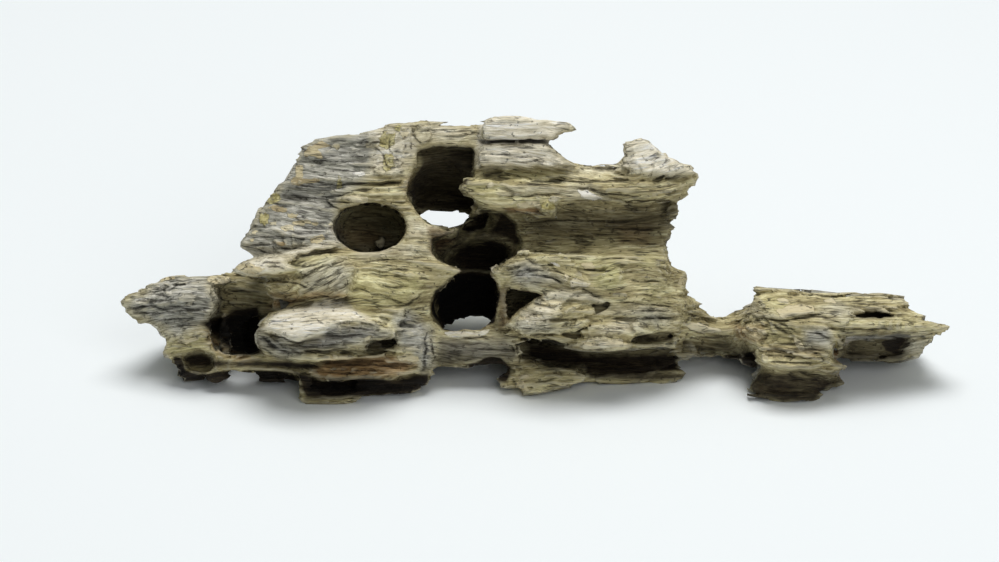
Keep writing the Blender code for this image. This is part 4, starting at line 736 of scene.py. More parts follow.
unseen_group = wood.vertex_groups.new(name="unseen")
facing = on_front(skin_points)[2]
for level in range(5):
    chosen = np.nonzero(np.round((1.0 - facing) * 4.0) == level)[0]
    unseen_group.add(chosen.tolist(), 0.12 + 0.22 * level, "REPLACE")
thin = wood.modifiers.new("thin", "DECIMATE")
thin.ratio = min(1.0, WOOD_TRIANGLES / (2.0 * len(skin_quads)))
thin.vertex_group = "unseen"
thin.vertex_group_factor = 1.0
wood.data = bpy.data.meshes.new_from_object(wood.evaluated_get(bpy.context.evaluated_depsgraph_get()))
wood.modifiers.clear()
wood.vertex_groups.clear()

# Crumbs that the carving cut loose are taken out
tidy = bmesh.new()
tidy.from_mesh(wood.data)
bmesh.ops.triangulate(tidy, faces=tidy.faces)
unseen = set(tidy.verts)
bodies = []
while unseen:
    rim = [unseen.pop()]
    body = list(rim)
    while rim:
        vert = rim.pop()
        for edge in vert.link_edges:
            other = edge.other_vert(vert)
            if other in unseen:
                unseen.remove(other)
                rim.append(other)
                body.append(other)
    bodies.append(body)
largest = max(bodies, key=len)
loose = [vert for body in bodies if body is not largest for vert in body]
bmesh.ops.delete(tidy, geom=loose, context="VERTS")
tidy.to_mesh(wood.data)
tidy.free()
wood.data.polygons.foreach_set("use_smooth", np.ones(len(wood.data.polygons), bool))


def of_skin(field):
    """The places or normals of the skin's points, a row for each."""
    values = np.zeros(3 * len(wood.data.vertices), np.float32)
    wood.data.vertices.foreach_get(field, values)
    return values.reshape(-1, 3)


def keep(name, values):
    """Keeps a value for each point of the skin under a name."""
    kind = "FLOAT_VECTOR" if values.ndim == 2 else "FLOAT"
    attribute = wood.data.attributes.new(name, kind, "POINT")
    field = "vector" if values.ndim == 2 else "value"
    attribute.data.foreach_set(field, values.astype(np.float32).ravel())


# What the wood's colours go by is kept on each point of the skin. How open to the air a point
# is comes from short rays in steps of millimetres, spread evenly by the golden angle
RAYS = 40
GOLDEN_ANGLE = 2.39996
RAY_STEPS = (0.9, 1.0, 1.2, 1.5, 2.0, 2.5, 3.0, 3.5, 4.0, 4.5, 5.0)
points = of_skin("co") * 1000.0
normals = of_skin("normal")
openness = np.zeros(len(points), np.float32)
total = np.zeros(len(points), np.float32)
limit = np.array(distance.shape) - 1
for k in range(RAYS):
    z = 1.0 - (2.0 * k + 1.0) / RAYS
    turn = GOLDEN_ANGLE * k
    ray = np.array([math.cos(turn) * math.sqrt(1 - z * z), math.sin(turn) * math.sqrt(1 - z * z), z])
    lean = normals @ ray
    active = np.nonzero(lean > 0.08)[0]
    total[active] += lean[active]
    spot = points[active] + normals[active] * 0.7
    travelled = 0.0
    for step in RAY_STEPS:
        travelled += step
        cell = np.round((spot + ray * travelled) / CELL).astype(np.int32) - first_cell
        outside = ((cell < 0) | (cell > limit)).any(axis=1)
        cell = np.clip(cell, 0, limit)
        clear = (distance[cell[:, 0], cell[:, 1], cell[:, 2]] > 0.0) | outside
        active, spot = active[clear], spot[clear]
    openness[active] += lean[active]
openness /= np.maximum(total, 1e-3)

filled = np.clip(0.5 - distance / (2.0 * CELL), 0.0, 1.0)
crease = read_block(blur(filled, 2), points) - 0.5
bulge = read_block(blur(blur(filled, 4), 4), points) - 0.5
layers = grain(points)
across, up, facing = on_front(points)
keep("grain", layers)
keep("open", openness)
keep("crease", crease)
keep("bulge", bulge)
keep("crack", 5.0 - (5.0 - read_sheet(near_crack, across, up)) * facing)

# Tones the weather has given parts of the wood, and painted shade in the tunnels, hollows and undersides:
# how strongly, how soft the edge, and corners
TONES = {
    "silver": (
        (0.85, 3, -116, 27, -104, 36, -92, 36, -89, 29, -92, 22, -100, 19, -108, 22),
        (1, 3, -84, 44, -79, 51, -72, 60, -67, 68, -66, 73, -50, 76, -45, 75, -46, 64, -56, 58, -57, 50,
         -54, 45, -66, 43, -80, 41),
        (0.35, 4, -47, 64, -45, 75, -34, 77, -36, 62),
        (0.45, 3, -66, 30, -52, 30, -50, 37, -54, 42, -66, 38),
        (0.8, 2, -60, 22.4, -46, 22, -40, 19.6, -46, 17, -60, 15, -72, 13, -79, 17, -78, 20, -68, 16.6,
         -60, 18.8),
        (0.8, 2, -40, 25, -35, 25.6, -29, 20, -28, 10, -32, 8, -34, 15, -39, 17),
        (0.5, 3, -27, 19, -6, 19, -4, 12, -10, 11, -27, 11),
        (0.6, 2, -7, 38, -3, 39.6, 2, 38, 8, 34, 0, 32, -6, 34),
        (0.75, 2, 3, 30.4, 8, 31.6, 14, 31.6, 19, 28.2, 12, 28.8, 6, 29.4),
        (0.5, 2, -9, 21.6, -4, 25, 4, 22, 9, 21, 6, 19.4, -5, 19.4),
        (0.55, 3, -10, 59.6, 0, 61, 14, 61, 20, 58, 12, 57.4, 0, 58.4),
        (0.5, 3, 18, 27.6, 30, 27, 40, 25, 38, 21.6, 24, 24),
        (0.45, 3, 58, 30, 62, 31, 66, 25, 62, 23.6, 57, 25),
        (0.5, 3, 74, 25, 84, 28, 90, 26, 86, 23, 76, 23), (0.75, 2, 75, 21, 82, 21, 83, 16, 75, 15.6),
        (0.6, 3, 103, 19, 110, 19, 110, 13, 100, 13),
    ),
    "pale": (
        (1.2, 2, -16, 66.6, -15.6, 79, -9, 81, 0, 80, 10, 78, 6, 75, 4, 71, 10, 66.6),
        (1, 2, 24.5, 66, 25, 73, 30, 75, 34, 72, 45, 65, 38, 64, 30, 65),
        (0.35, 3, 6, 67, 26, 67, 30, 64, 20, 63.6, 8, 63),
        (0.65, 2, -46, 64.4, -40, 63.4, -36, 67, -34, 71, -34, 79, -46, 76.6),
        (0.45, 3, -34, 79, -16, 79, -16, 73, -34, 73),
        (0.95, 1.4, -79, 20, -76, 21.5, -74, 24.2, -72, 25.6, -66, 26.5, -62, 28, -58, 28.7, -54, 28.5,
         -51, 26, -46, 23, -50, 22.9, -55, 22.3, -59, 20.6, -62, 19.4, -66, 17.9, -70, 17.8, -74, 20),
        (0.75, 1.4, -84.5, 38, -82.5, 39.6, -78, 40.8, -70, 41.6, -66, 43.6, -61, 45.2, -56, 45, -57, 43.6,
         -62, 43, -66, 41.4, -70, 39.6, -68, 37.6, -74, 36.6, -80, 36.2, -84, 37),
        (0.4, 3, -50, 44, -30, 46, -29, 41.4, -50, 40.6), (0.4, 3, -37, 56, -28, 50, -29, 45, -36, 45),
        (0.55, 2, -6, 24, -2, 28, 3, 30, 7, 28, 3, 22, -4, 21.4),
        (0.5, 2, 11, 16, 14, 18, 26, 17, 26, 15, 14, 14.8),
        (0.45, 2, 24, 23.4, 30, 23, 30, 20, 22, 19, 14, 19), (0.4, 2, -47, 21.8, -44, 26, -36, 27, -39, 20),
    ),
    "rust": (
        (1, 2, -63, 9, -58, 12, -48, 12.8, -41, 13, -34, 10.6, -38, 7.6, -46, 7, -54, 6.4, -60, 6.6),
        (0.75, 1.2, -76, 25.6, -74, 28.6, -68, 30, -62, 31, -53, 30.6, -53, 29.8, -60, 29.9, -66, 28.2,
         -72, 26.6),
        (0.5, 2, -75, 31, -66, 31.6, -67, 29, -75, 28),
        (0.8, 2, -92, 20, -86, 16.4, -81, 13.6, -78, 12, -83, 11.4, -88, 14, -92, 17),
        (0.85, 2, -29.4, 48.6, -23, 47.4, -22, 44, -24, 40, -29, 43),
        (0.5, 2, -57, 49, -53, 43.4, -44, 43, -40, 46, -48, 50), (0.55, 2, -38, 61, -34, 64, -33, 55),
        (0.6, 1.6, 55, 22, 64, 21.8, 64, 17.4, 57, 18), (0.45, 2, 64, 16, 80, 15.4, 78, 13.4, 64, 13.6),
        (0.5, 2, 22, 50.6, 34, 51, 32, 44, 24, 44.6),
        (0.9, 0.7, -9, 54.6, -3, 54.4, 1, 54.6, 1.4, 52.8, -3, 53.2, -8, 53.4),
        (0.7, 1, -10.6, 31, -8.4, 32.6, -8, 27, -7.8, 22.6, -10, 20.6),
    ),
    "moss": (
        (0.6, 2.4, -52, 37, -42, 38, -30, 35.6, -31, 31, -38, 27.4, -50, 25, -53, 31),
        (0.6, 2, -47, 22, -44, 26.4, -36, 27, -38.6, 19.6, -42, 20),
        (0.45, 2, -80, 39, -66, 41, -56, 42, -54, 36, -66, 35, -72, 37),
        (0.9, 2, 16.6, 33.4, 18.6, 38.6, 23.6, 38.4, 25, 33.6, 21, 32),
        (0.6, 2.4, -21, 60.4, -18, 62.8, -9, 61.6, -10, 57, -16, 57),
        (0.5, 3, -9, 58, 4, 58.6, 6, 56, -8, 55.6), (0.35, 4, -2, 44, 36, 44, 38, 38, 14, 36, -2, 40),
        (0.4, 3, 26, 34, 42, 32, 44, 28, 28, 29), (0.55, 3, 62, 31, 70, 31, 70, 27, 64, 26),
        (0.4, 3, 64, 22, 76, 21, 76, 16, 64, 16), (0.4, 3, 84, 24.6, 112, 22, 112, 20.6, 84, 21.6),
        (0.45, 2, -103, 15, -96, 14.4, -92, 16.4, -84, 12, -74, 11, -78, 14, -92, 20, -102, 17.6),
        (0.5, 2, -16, 66, -8, 66, 8, 65, 8, 63, -10, 62.4),
    ),
    # Painted shade: dark colour laid in the tunnels, gaps and hollows, and on undersides and down-facing
    # fronts, where shade falls
    "soot": (
        (0.45, 2, -52, 49, -50, 52, -46, 52.4, -40, 51, -37.4, 48.6, -41, 46.6, -48, 47.4),
        (0.5, 1.5, -78, 19, -72, 18, -66, 17, -59, 20, -52, 21.6, -44, 20, -44, 18.6, -50, 17.8, -54, 16,
         -60, 14.8, -66, 14, -72, 12.6, -77, 15),
        (1.3, 0.6, -101.6, 13.4, -99.2, 12.6, -98, 9, -95, 7.9, -91, 8.6, -86, 9.2, -79, 9.2, -68, 8.6,
         -66, 4, -80, 4, -102, 4),
        (1, 0.8, -92, 12.8, -84, 11.4, -78, 12, -70, 12, -63, 11.4, -60, 9.6, -66, 9.2, -76, 10, -86, 10.2,
         -90, 9.8),
        (0.9, 0.5, -21.5, 49.8, -18, 51.6, -14.6, 54.2, -12, 53.8, -14, 50, -18, 47.6, -22, 48),
        (1.1, 0.7, -23, 49, -19, 51, -14, 54, -9, 53, -5.4, 50, -4.2, 45, -7, 41, -12, 37, -20, 37.2,
         -23, 40, -22, 44),
        (0.6, 0.7, -29.4, 48.6, -23, 49, -22, 44, -23, 40, -27, 41.4, -29.6, 44),
        (0.55, 0.7, -12, 21.6, -10.6, 26, -10.4, 31, -8.6, 33, -7.8, 30, -8, 23, -9.4, 20.6),
        (1, 0.8, 14, 8, 20, 7.6, 29, 7.8, 36, 8.6, 40.4, 9.6, 39, 14, 28, 13, 14, 11),
        (0.7, 0.6, 27, 16.9, 29, 19.4, 38, 19.9, 38.8, 17, 36, 16.8),
        (1.4, 0.6, 53, 13.4, 57, 14, 61.4, 14.4, 62.4, 10, 58, 9.6, 53, 11.6),
        (0.95, 0.8, 60, 9, 66, 8.6, 72, 8.4, 78, 7.8, 84, 6, 78, 0, 58, 0.6),
        (0.45, 1, -20.6, 58.4, -15, 56, -12, 54.4, -4, 53.4, -4, 52.4, -14, 53.4),
        (0.65, 1, -27, 17.6, -14, 17.6, -8, 18.4, -5, 14, -7, 10.6, -12, 12.8, -18, 11, -28, 9.6),
        (1.2, 0.6, -24, 9.2, -20, 10.4, -17, 11.4, -14, 12.8, -12, 13.2, -10, 12.8, -8, 11.4, -6.4, 10,
         -8, 6, -26, 6),
        (0.6, 0.6, -8.2, 32.6, -1, 31.2, 2.6, 30.4, 0.4, 29, -2, 27.6, -5, 25, -7.6, 22.8, -8.6, 28),
        (0.9, 0.7, -36, 58.6, -34.4, 63, -32, 67.4, -33, 71, -26, 72.4, -16.6, 71.2, -17.6, 64, -20.8, 60,
         -16, 55.4, -19, 54, -33, 54.4),
        (0.95, 0.7, -24, 47, -15, 50.6, -12, 52.6, -6, 51, -4, 45, -9, 38.8, -13, 36.8, -21, 37.2,
         -26, 39.4, -23, 42),
        (1.9, 0.6, -21, 36.6, -28, 31.6, -29.4, 26, -26, 21, -12, 22.4, -10, 31, -13, 36.4),
        (1.8, 1.6, -93, 22, -88, 24, -84, 26, -78, 26.6, -77.2, 22, -79, 19, -77, 14.4, -82, 13.4, -86, 16,
         -88, 18),
        (0.35, 2, -91, 33, -80, 33.6, -75.6, 30, -74.4, 24, -78, 25, -84, 27, -91, 25),
        (1.05, 1.4, -99.8, 13, -96, 14.6, -92, 14, -88.6, 11, -91, 9.4, -97.6, 9.4),
        (1.7, 1.6, -67, 8.6, -60.6, 6.4, -54, 6.2, -46, 6.8, -40, 6.4, -30, 8, -30, 3, -50, 2, -64, 1.6),
        (0.8, 1.2, -50, 15.6, -46, 18, -40, 18.6, -41, 16, -44, 14.2),
        (0.6, 1.2, -70, 9.8, -62, 9.6, -58, 11.6, -66, 12),
        (0.75, 3, -4, 51, 10, 56, 40, 56, 40, 51, 36, 46, 20, 46.6, 0, 46),
        (0.5, 2.4, -9, 19, -5, 18, -4, 10, -7, 12, -10, 17),
        (1, 2, -4, 17.6, 8, 17, 14, 14.6, 28, 14.8, 38, 15.4, 40, 9.4, 28, 9, 14, 9.6, 4, 9.8, -3, 12),
        (0.9, 0.6, 14, 9, 28, 9, 42, 8.4, 41.6, 6.6, 28, 6.4, 15, 6.8),
        (0.8, 2, 40, 17, 52, 19, 60, 16, 62, 10.8, 50, 13, 40, 13.6),
        (0.8, 2, 60, 10, 68, 8.8, 74, 9.4, 84, 8.8, 88, 6, 78, 0.5, 60, 1.5),
        (0.8, 1.6, 86, 20, 94, 19.4, 98, 20.2, 104, 19.6, 104.6, 16, 103, 11, 84, 11),
        (1.4, 1.2, 96, 17.4, 99, 18.6, 102, 19.4, 104.6, 18, 102.6, 15.4, 101, 13.4, 97.6, 14.6),
        (1, 0.8, 88.4, 24, 92, 25.4, 95.4, 25.9, 99, 25, 100.6, 24, 95, 23.6),
        (0.5, 0.8, 31.6, 62.5, 33.4, 63.7, 44, 63.8, 42.4, 62.6),
        (0.85, 1, -15.6, 73.2, 3.8, 73.4, 3.6, 72.8, -14, 72.5),
        (0.9, 1, -15, 64.4, -9, 65.2, -9, 64, -14, 63.6),
    ),
}

# Chips where fresh wood shows, and lichen: how light or yellow, and the corners
CHIPS = (
    (0.2, -64.6, 71, -62, 72.4, -60, 73.2, -58, 72.2, -59.6, 71.4, -61.6, 71, -60, 70.2, -60.2, 68.6,
     -61, 68.6, -62, 69.4, -64.6, 69.6),
    (0.3, -66.8, 66.4, -65.3, 66.5, -65.4, 63.4, -67, 63.2),
    (0.15, -68.6, 62.8, -66, 63.4, -65.6, 62.6, -60.6, 62.8, -60.8, 62.2, -64, 61.5, -68.2, 61.5),
    (0.2, -74.8, 54.4, -73, 55.2, -70, 54.5, -69.9, 53.6, -73, 53.9),
    (0.25, -69.3, 53, -67, 53.2, -67, 52.2, -69, 52.2),
    (0.45, -71.4, 49.2, -69.5, 49.9, -68, 49.7, -67.8, 48.4, -70.3, 48.3),
    (0.35, -68.2, 50.2, -66, 51.2, -63, 51, -62.8, 50.4, -66, 50.1),
    (0.3, -62.6, 46.2, -60, 47, -59.2, 46, -61.5, 44.9, -62.9, 45.3),
    (0, -73.2, 44.8, -71, 45.3, -69.8, 44.7, -71.6, 44.2),
    (0.5, -53.7, 57.4, -50, 58.1, -47.2, 57.9, -47.3, 56.4, -51, 56.5),
    (0.75, -51.2, 64.4, -49, 64.8, -47.8, 64.1, -49.6, 63.5),
    (0.5, -74.3, 50.7, -72.8, 50.7, -72.8, 49.9, -74, 49.9),
    (0.35, -62.4, 50.7, -61, 50.8, -61.2, 50, -62.2, 50),
    (0.6, -57.8, 50.4, -56.6, 50.6, -56.8, 50, -57.6, 49.9),
    (0.5, -79.4, 48.1, -78.2, 48.2, -78.4, 47.3, -79.2, 47.4), (0.35, -79.8, 46, -78.6, 46.1, -79.2, 45.4),
    (0.55, -33.4, 75, -31.6, 75.6, -30.4, 75.4, -29.2, 75.9, -29.6, 74.2, -31, 73.3, -33, 73.8),
    (0.6, -32.8, 77.6, -31, 78, -30.2, 77.3, -31.6, 76.9),
    (0.5, -37.8, 75.4, -36, 76.4, -35.4, 75.4, -36.8, 74.4),
    (0.6, -47.8, 72.6, -45, 72.8, -43.8, 72.2, -45.4, 71.5, -47.4, 71.8),
    (0.4, -57, 72.1, -55.2, 72.4, -55.6, 71.5),
    (0.4, -92.4, 34.3, -91, 35.4, -88, 35.6, -86, 35.3, -85.6, 34.1, -88, 33.6, -91, 33.6),
    (0.35, -105.6, 34.4, -104, 35.4, -100.6, 35.3, -102, 34.6),
    (0.7, -113, 28.4, -111, 29.2, -109.2, 28.8, -110.6, 28),
    (0.7, -104, 31.3, -102.4, 31.6, -102.2, 30.6, -103.6, 30.6),
    (0.5, -101, 17.2, -97, 17.8, -95.4, 18.4, -94.4, 17.9, -98, 16.7),
    (0.3, -84, 37.9, -82, 38.8, -79, 38.6, -76, 37.4, -79, 36.6, -82, 37),
    (0.45, -38.6, 13.4, -36, 13.6, -33, 13, -34, 12, -38, 12),
    (0.35, -35.6, 12.6, -33, 13.2, -32.6, 11.8, -34.4, 11.4),
    (0.5, -48.4, 18.3, -46.2, 18.7, -45.4, 18.1, -47.6, 17.9),
    (0.5, 2, 28.4, 4, 28.9, 7.6, 29.3, 8.4, 28.2, 6, 27.5, 4, 27.1, 1.8, 27.2),
    (0.45, -5.2, 23.6, -3.8, 24.6, -2.8, 24, -3.6, 23.2), (0.7, 0.4, 25.4, 1.8, 25.6, 2, 24.9, 0.7, 24.7),
    (0.6, -2, 22.3, 1, 22.6, 1.3, 21.8, -1.5, 21.4), (0.6, 0.6, 24, 1.8, 24.2, 1.8, 23.5),
    (0.6, 9.8, 34.2, 11, 34.9, 12.5, 34.5, 13, 33.6, 15.4, 33.3, 14, 32.6, 11, 32.6, 9.8, 33),
    (0.55, 8, 35.8, 9.1, 35.6, 8.7, 34.3, 8, 34.5),
    (0.35, 12.6, 38.9, 16, 39.1, 17.2, 38, 16, 37.4, 14, 37.7),
    (0.7, 4, 39.4, 5.6, 39, 6.8, 38.1, 5.4, 38.2), (0.4, 23.6, 37, 25, 36.9, 24.4, 36.4),
    (0.5, -45.2, 43.4, -45.2, 45.4, -43.6, 46.6, -42.6, 46, -42.2, 43.4),
    (0.35, -5, 5.8, -3.6, 6.2, -2.4, 4.4, -1.6, 3.4, -3.6, 3.2, -5, 4.4),
    (0.3, -5.6, 7, -2.6, 8, -1.6, 7.2, -4, 6.7), (0.5, 13, 17, 16, 17.9, 17, 17, 15.4, 16),
    (0.55, 20, 17.6, 24, 17.9, 24.6, 16.9, 21, 16.6), (0.5, 25.6, 22.8, 29, 22.9, 28.6, 21.4, 26.4, 21.6),
    (0.35, 40.4, 35, 42.6, 35.4, 42.2, 33.6, 40.4, 33.4),
    (0.55, 42, 22.2, 46, 22.3, 50, 21, 52, 20, 48.6, 19.6, 43.4, 20.9),
    (0.4, 67.8, 25.8, 71, 27.2, 77.8, 27.3, 78, 25.6, 74, 24.6, 69, 24.2),
    (0.5, 67.6, 28.9, 70, 29.2, 71.6, 28.3, 69, 28.3), (0.5, 81, 28.8, 83.2, 29.5, 84.2, 28, 82.4, 28.3),
    (0.25, 58, 20.3, 61.6, 21.2, 64, 19.6, 62, 17.6, 60, 18.2),
    (0.55, 72.4, 18.4, 74, 17.5, 75.4, 15, 74.2, 14.6, 73, 16.2), (0.6, 82, 16, 83.4, 16.2, 83, 15.4),
    (0.7, -21, 20.2, -16, 19.8, -13, 20.6, -14, 19.2, -18, 18.5, -24, 18.7, -25.4, 19.6),
    (0.45, -5, 55.6, -2, 56.2, 0.6, 56.4, 1.2, 55.2, -3, 54.7),
    (0.6, 3.6, 56.9, 6, 57.2, 5.6, 56.3, 4, 56.3),
    (0.85, 12, 59.7, 14.4, 59.5, 17, 58, 18.8, 57.2, 16.6, 56.8, 13.6, 57.8),
    (0.6, -13, 61.4, -12, 61.7, -11.8, 60.9, -12.8, 60.7),
)
LICHEN = (
    (-75.4, 57.5, -74.5, 58.7, -73, 58.9, -71.4, 58.4, -71.4, 57, -73, 55.9, -74.5, 55.6, -75.6, 56.4),
    (-77.4, 52.3, -75.5, 53.6, -74.4, 52.5, -75, 50.8, -76.3, 49.6, -77.4, 50.4),
    (-55.8, 63.2, -54.4, 63.5, -54.1, 61, -55.6, 60.2),
    (-44, 74.4, -42.4, 76, -39.4, 75.6, -39.6, 73, -41, 71.2, -43.6, 72),
    (-40, 77, -38, 77.9, -36.4, 77, -38.4, 76), (-42.6, 69.6, -40, 70, -39.6, 66.6, -41.4, 64.4, -43, 66),
    (1.4, 55.8, 3, 56.4, 5, 56, 5.6, 54, 4.6, 52.6, 3.2, 53.2, 1.6, 54),
)

tones = {}
for name, marks in TONES.items():
    sheet = np.zeros(SHEET_SHAPE, np.float32)
    for amount, soft, *corners in marks:
        window, far = from_mark(corners, True)
        sheet[window] = np.maximum(sheet[window], amount * part_inside(far, soft))
    tones[name] = sheet
chip = np.full(SHEET_SHAPE, -5.0, np.float32)
chip_light = np.zeros(SHEET_SHAPE, np.float32)
for light, *corners in CHIPS:
    window, far = from_mark(corners, True)
    chip_light[window] = np.where(-far > chip[window], light, chip_light[window])
    chip[window] = np.maximum(chip[window], -far)
lichen = np.full(SHEET_SHAPE, -5.0, np.float32)
for corners in LICHEN:
    window, far = from_mark(corners, True)
    lichen[window] = np.maximum(lichen[window], -far)

# Where no marks are laid out the tones go by chance and by shelter, and the painted shade goes by shelter
# and is stronger where a place faces down
chance = {}
for name, sizes, start, steep, least, share in (
    ("silver", (40, 24, 18), 31, 3.0, 1.1, np.clip(0.4 + openness, 0, 1)),
    ("pale", (26, 16, 10), 32, 4.0, 2.2, np.clip(openness * 2.0 - 0.7, 0, 1) * 0.8),
    ("rust", (30, 18, 12), 33, 3.0, 1.6, np.clip(1.3 - openness * 1.2, 0, 1)),
    ("moss", (24, 16, 14), 34, 3.0, 1.5, 0.7),
):
    chance[name] = patches(points, sizes, start, steep, least) * share
chance["soot"] = np.clip(0.95 - openness * 2.2, 0, 1) + np.clip(-normals[:, 2] * 1.2 - 0.3, 0, 0.6)
for name, sheet in tones.items():
    laid = read_sheet(sheet, across, up)
    keep(name, laid * facing + chance[name] * (1.0 - facing))
keep("chip", -5.0 + (5.0 + read_sheet(chip, across, up)) * facing)
keep("chip_light", read_sheet(chip_light, across, up))
keep("lichen", -5.0 + (5.0 + read_sheet(lichen, across, up)) * facing)


def srgb(code):
    """A colour written as sRGB hex, turned to linear."""
    parts = [int(code[i:i + 2], 16) / 255.0 for i in (1, 3, 5)]
    return tuple(p / 12.92 if p <= 0.04045 else ((p + 0.055) / 1.055) ** 2.4 for p in parts) + (1.0,)


def add_node(kind, settings, inputs, out=0):
    """Adds a node with its settings, gives its inputs values or links, and returns an output.

    Inputs and outputs go by number where a node has several of a name: 1, 2 and 4 of Map Range
    are where it starts, where it ends and the most it gives, and 6 and 7 of Mix are its colours.
    """
    node = tree.nodes.new(kind)
    for name, value in settings.items():
        if name == "stops":
            node.color_ramp.elements.remove(node.color_ramp.elements[0])
            node.color_ramp.elements[0].position = value[-1][0]
            node.color_ramp.elements[0].color = srgb(value[-1][1])
            for place, code in value[:-1]:
                node.color_ramp.elements.new(place).color = srgb(code)
        else:
            setattr(node, name, value)
    for name, value in inputs.items():
        if isinstance(value, bpy.types.NodeSocket):
            tree.links.new(value, node.inputs[name])
        else:
            node.inputs[name].default_value = value
    return node.outputs[out]


# Weathered driftwood: bare fibres bleached silver or cream where the air reaches them, brown
# in shelter with painted shade that darkens it to nearly black, with moss stains, fresh chips and crusts of
# lichen
weathered = bpy.data.materials.new("weathered_driftwood")
weathered.use_nodes = True
tree = weathered.node_tree
MATH = "ShaderNodeMath"
RANGE = "ShaderNodeMapRange"
RAMP = "ShaderNodeValToRGB"
MIX = "ShaderNodeMix"
TIMES = {"operation": "MULTIPLY"}
MORE = {"operation": "MULTIPLY_ADD"}
TOP = {"operation": "MAXIMUM"}
OVER = {"data_type": "RGBA"}
DARKEN = {"data_type": "RGBA", "blend_type": "MULTIPLY"}
kept = {name: add_node("ShaderNodeAttribute", {"attribute_name": name}, {}, 2)
        for name in ("open", "crease", "bulge", "crack", "chip", "chip_light", "lichen",
                     "silver", "pale", "rust", "moss", "soot")}
layer = add_node("ShaderNodeAttribute", {"attribute_name": "grain"}, {}, 1)
place = add_node("ShaderNodeTexCoord", {}, {}, 3)

# Lengths of each pattern in millimetres, along, around and across the grain or the same every
# way, and its finer shares. The hairs are drawn coarser than real ones, to show at this scale
noise = {}
for name, vector, unit, lengths, detail, rough in (
    ("bands", layer, 1.0, (22.0, 9.0, 2.2), 5.0, 0.6),
    ("fibres", layer, 1.0, (7.0, 2.4, 0.55), 4.0, 0.65),
    ("hairs", layer, 1.0, (2.6, 1.0, 0.32), 2.0, 0.6),
    ("lines", layer, 1.0, (13.0, 6.0, 1.5), 2.0, 0.5),
    ("patches", place, 1000.0, (9.0, 9.0, 9.0), 3.0, 0.6),
    ("clouds", place, 1000.0, (5.0, 5.0, 5.0), 1.0, 0.6),
    ("specks", place, 1000.0, (1.6, 1.6, 1.6), 2.0, 0.6),
):
    scale = tuple(unit / length for length in lengths)
    scaled = add_node("ShaderNodeVectorMath", TIMES, {0: vector, 1: scale})
    shares = {"Vector": scaled, "Scale": 1.0, "Detail": detail, "Roughness": rough}
    noise[name] = add_node("ShaderNodeTexNoise", {}, shares)
streak = 0.0
for name, part in (("bands", 0.4), ("fibres", 0.4), ("hairs", 0.2)):
    streak = add_node(MATH, MORE, {0: noise[name], 1: part, 2: streak})
streak = add_node(RANGE, {}, {0: streak, 1: 0.36, 2: 0.64})

# Bare wood in two browns, and over it the tones that the weather has given its parts
stops = ((0.0, "#655a3f"), (0.35, "#a2956b"), (0.65, "#d1c496"), (1.0, "#fcf7cb"))
colour = add_node(RAMP, {"stops": stops}, {0: streak})
stops = ((0.0, "#726749"), (0.5, "#c0b487"), (1.0, "#fcf5c7"))
other = add_node(RAMP, {"stops": stops}, {0: streak})
share = add_node(RANGE, {}, {0: noise["patches"], 1: 0.35, 2: 0.7})
colour = add_node(MIX, OVER, {0: share, 6: colour, 7: other}, 2)
for tone, stops in (
    ("moss", ((0.0, "#736b46"), (0.4, "#bcb37e"), (0.75, "#e7e0aa"), (1.0, "#fcfcd1"))),
    ("silver", ((0.0, "#535249"), (0.35, "#989688"), (0.65, "#c7c3b6"), (1.0, "#f5f2e4"))),
    ("pale", ((0.0, "#897c62"), (0.25, "#d4c9ac"), (0.6, "#f8f0da"), (1.0, "#fcfcfa"))),
    ("rust", ((0.0, "#42301a"), (0.4, "#876d49"), (0.75, "#b6986d"), (1.0, "#e4c89e"))),
):
    uneven = add_node(MATH, MORE, {0: noise["patches"], 1: 0.9, 2: kept[tone]})
    uneven = add_node(RANGE, {}, {0: uneven, 1: 0.55, 2: 1.2})
    share = add_node(RANGE, {}, {0: kept[tone], 1: 0.0, 2: 0.25})
    share = add_node(MATH, TIMES, {0: uneven, 1: share})
    tint = add_node(RAMP, {"stops": stops}, {0: streak})
    colour = add_node(MIX, OVER, {0: share, 6: colour, 7: tint}, 2)

# Long thin cracks by chance, the marked ones, narrow hollows and worm pits, darkened with painted shade
shaded_cracks = add_node(MATH, {"operation": "SUBTRACT"}, {0: noise["lines"], 1: 0.5})
shaded_cracks = add_node(MATH, {"operation": "ABSOLUTE"}, {0: shaded_cracks})
shaded_cracks = add_node(RANGE, {}, {0: shaded_cracks, 1: 0.035, 2: 0.008})
share = add_node(RANGE, {}, {0: noise["clouds"], 1: 0.46, 2: 0.62, 4: 0.75})
shaded_cracks = add_node(MATH, TIMES, {0: shaded_cracks, 1: share})
near = add_node(MATH, {"operation": "ADD"}, {0: noise["fibres"], 1: kept["crack"]})
for value, low, high, most in ((near, 0.7, 0.38, 0.85), (kept["crease"], 0.1, 0.3, 0.6),
                               (noise["specks"], 0.64, 0.7, 0.6)):
    share = add_node(RANGE, {}, {0: value, 1: low, 2: high, 4: most})
    shaded_cracks = add_node(MATH, TOP, {0: shaded_cracks, 1: share})

# Chips and lichen have crisp edges
edge = add_node(MATH, MORE, {0: noise["specks"], 1: 1.2, 2: kept["chip"]})
chip_share = add_node(RANGE, {}, {0: edge, 1: 0.3, 2: 0.5, 4: 0.95})
edge = add_node(MATH, MORE, {0: noise["specks"], 1: 2.4, 2: kept["lichen"]})
crust_share = add_node(RANGE, {}, {0: edge, 1: 1.1, 2: 1.4, 4: 0.85})
light = add_node(MATH, MORE, {0: streak, 1: 0.4, 2: kept["chip_light"]})
for share, value, stops in (
    (chip_share, light, ((0.18, "#b7a077"), (0.5, "#d9caa0"), (0.78, "#e8ddbb"), (1.0, "#f8f4ea"))),
    (crust_share, noise["specks"], ((0.3, "#645d30"), (0.46, "#b3a663"), (0.62, "#e0d69b"))),
):
    tint = add_node(RAMP, {"stops": stops}, {0: value})
    colour = add_node(MIX, OVER, {0: share, 6: colour, 7: tint}, 2)
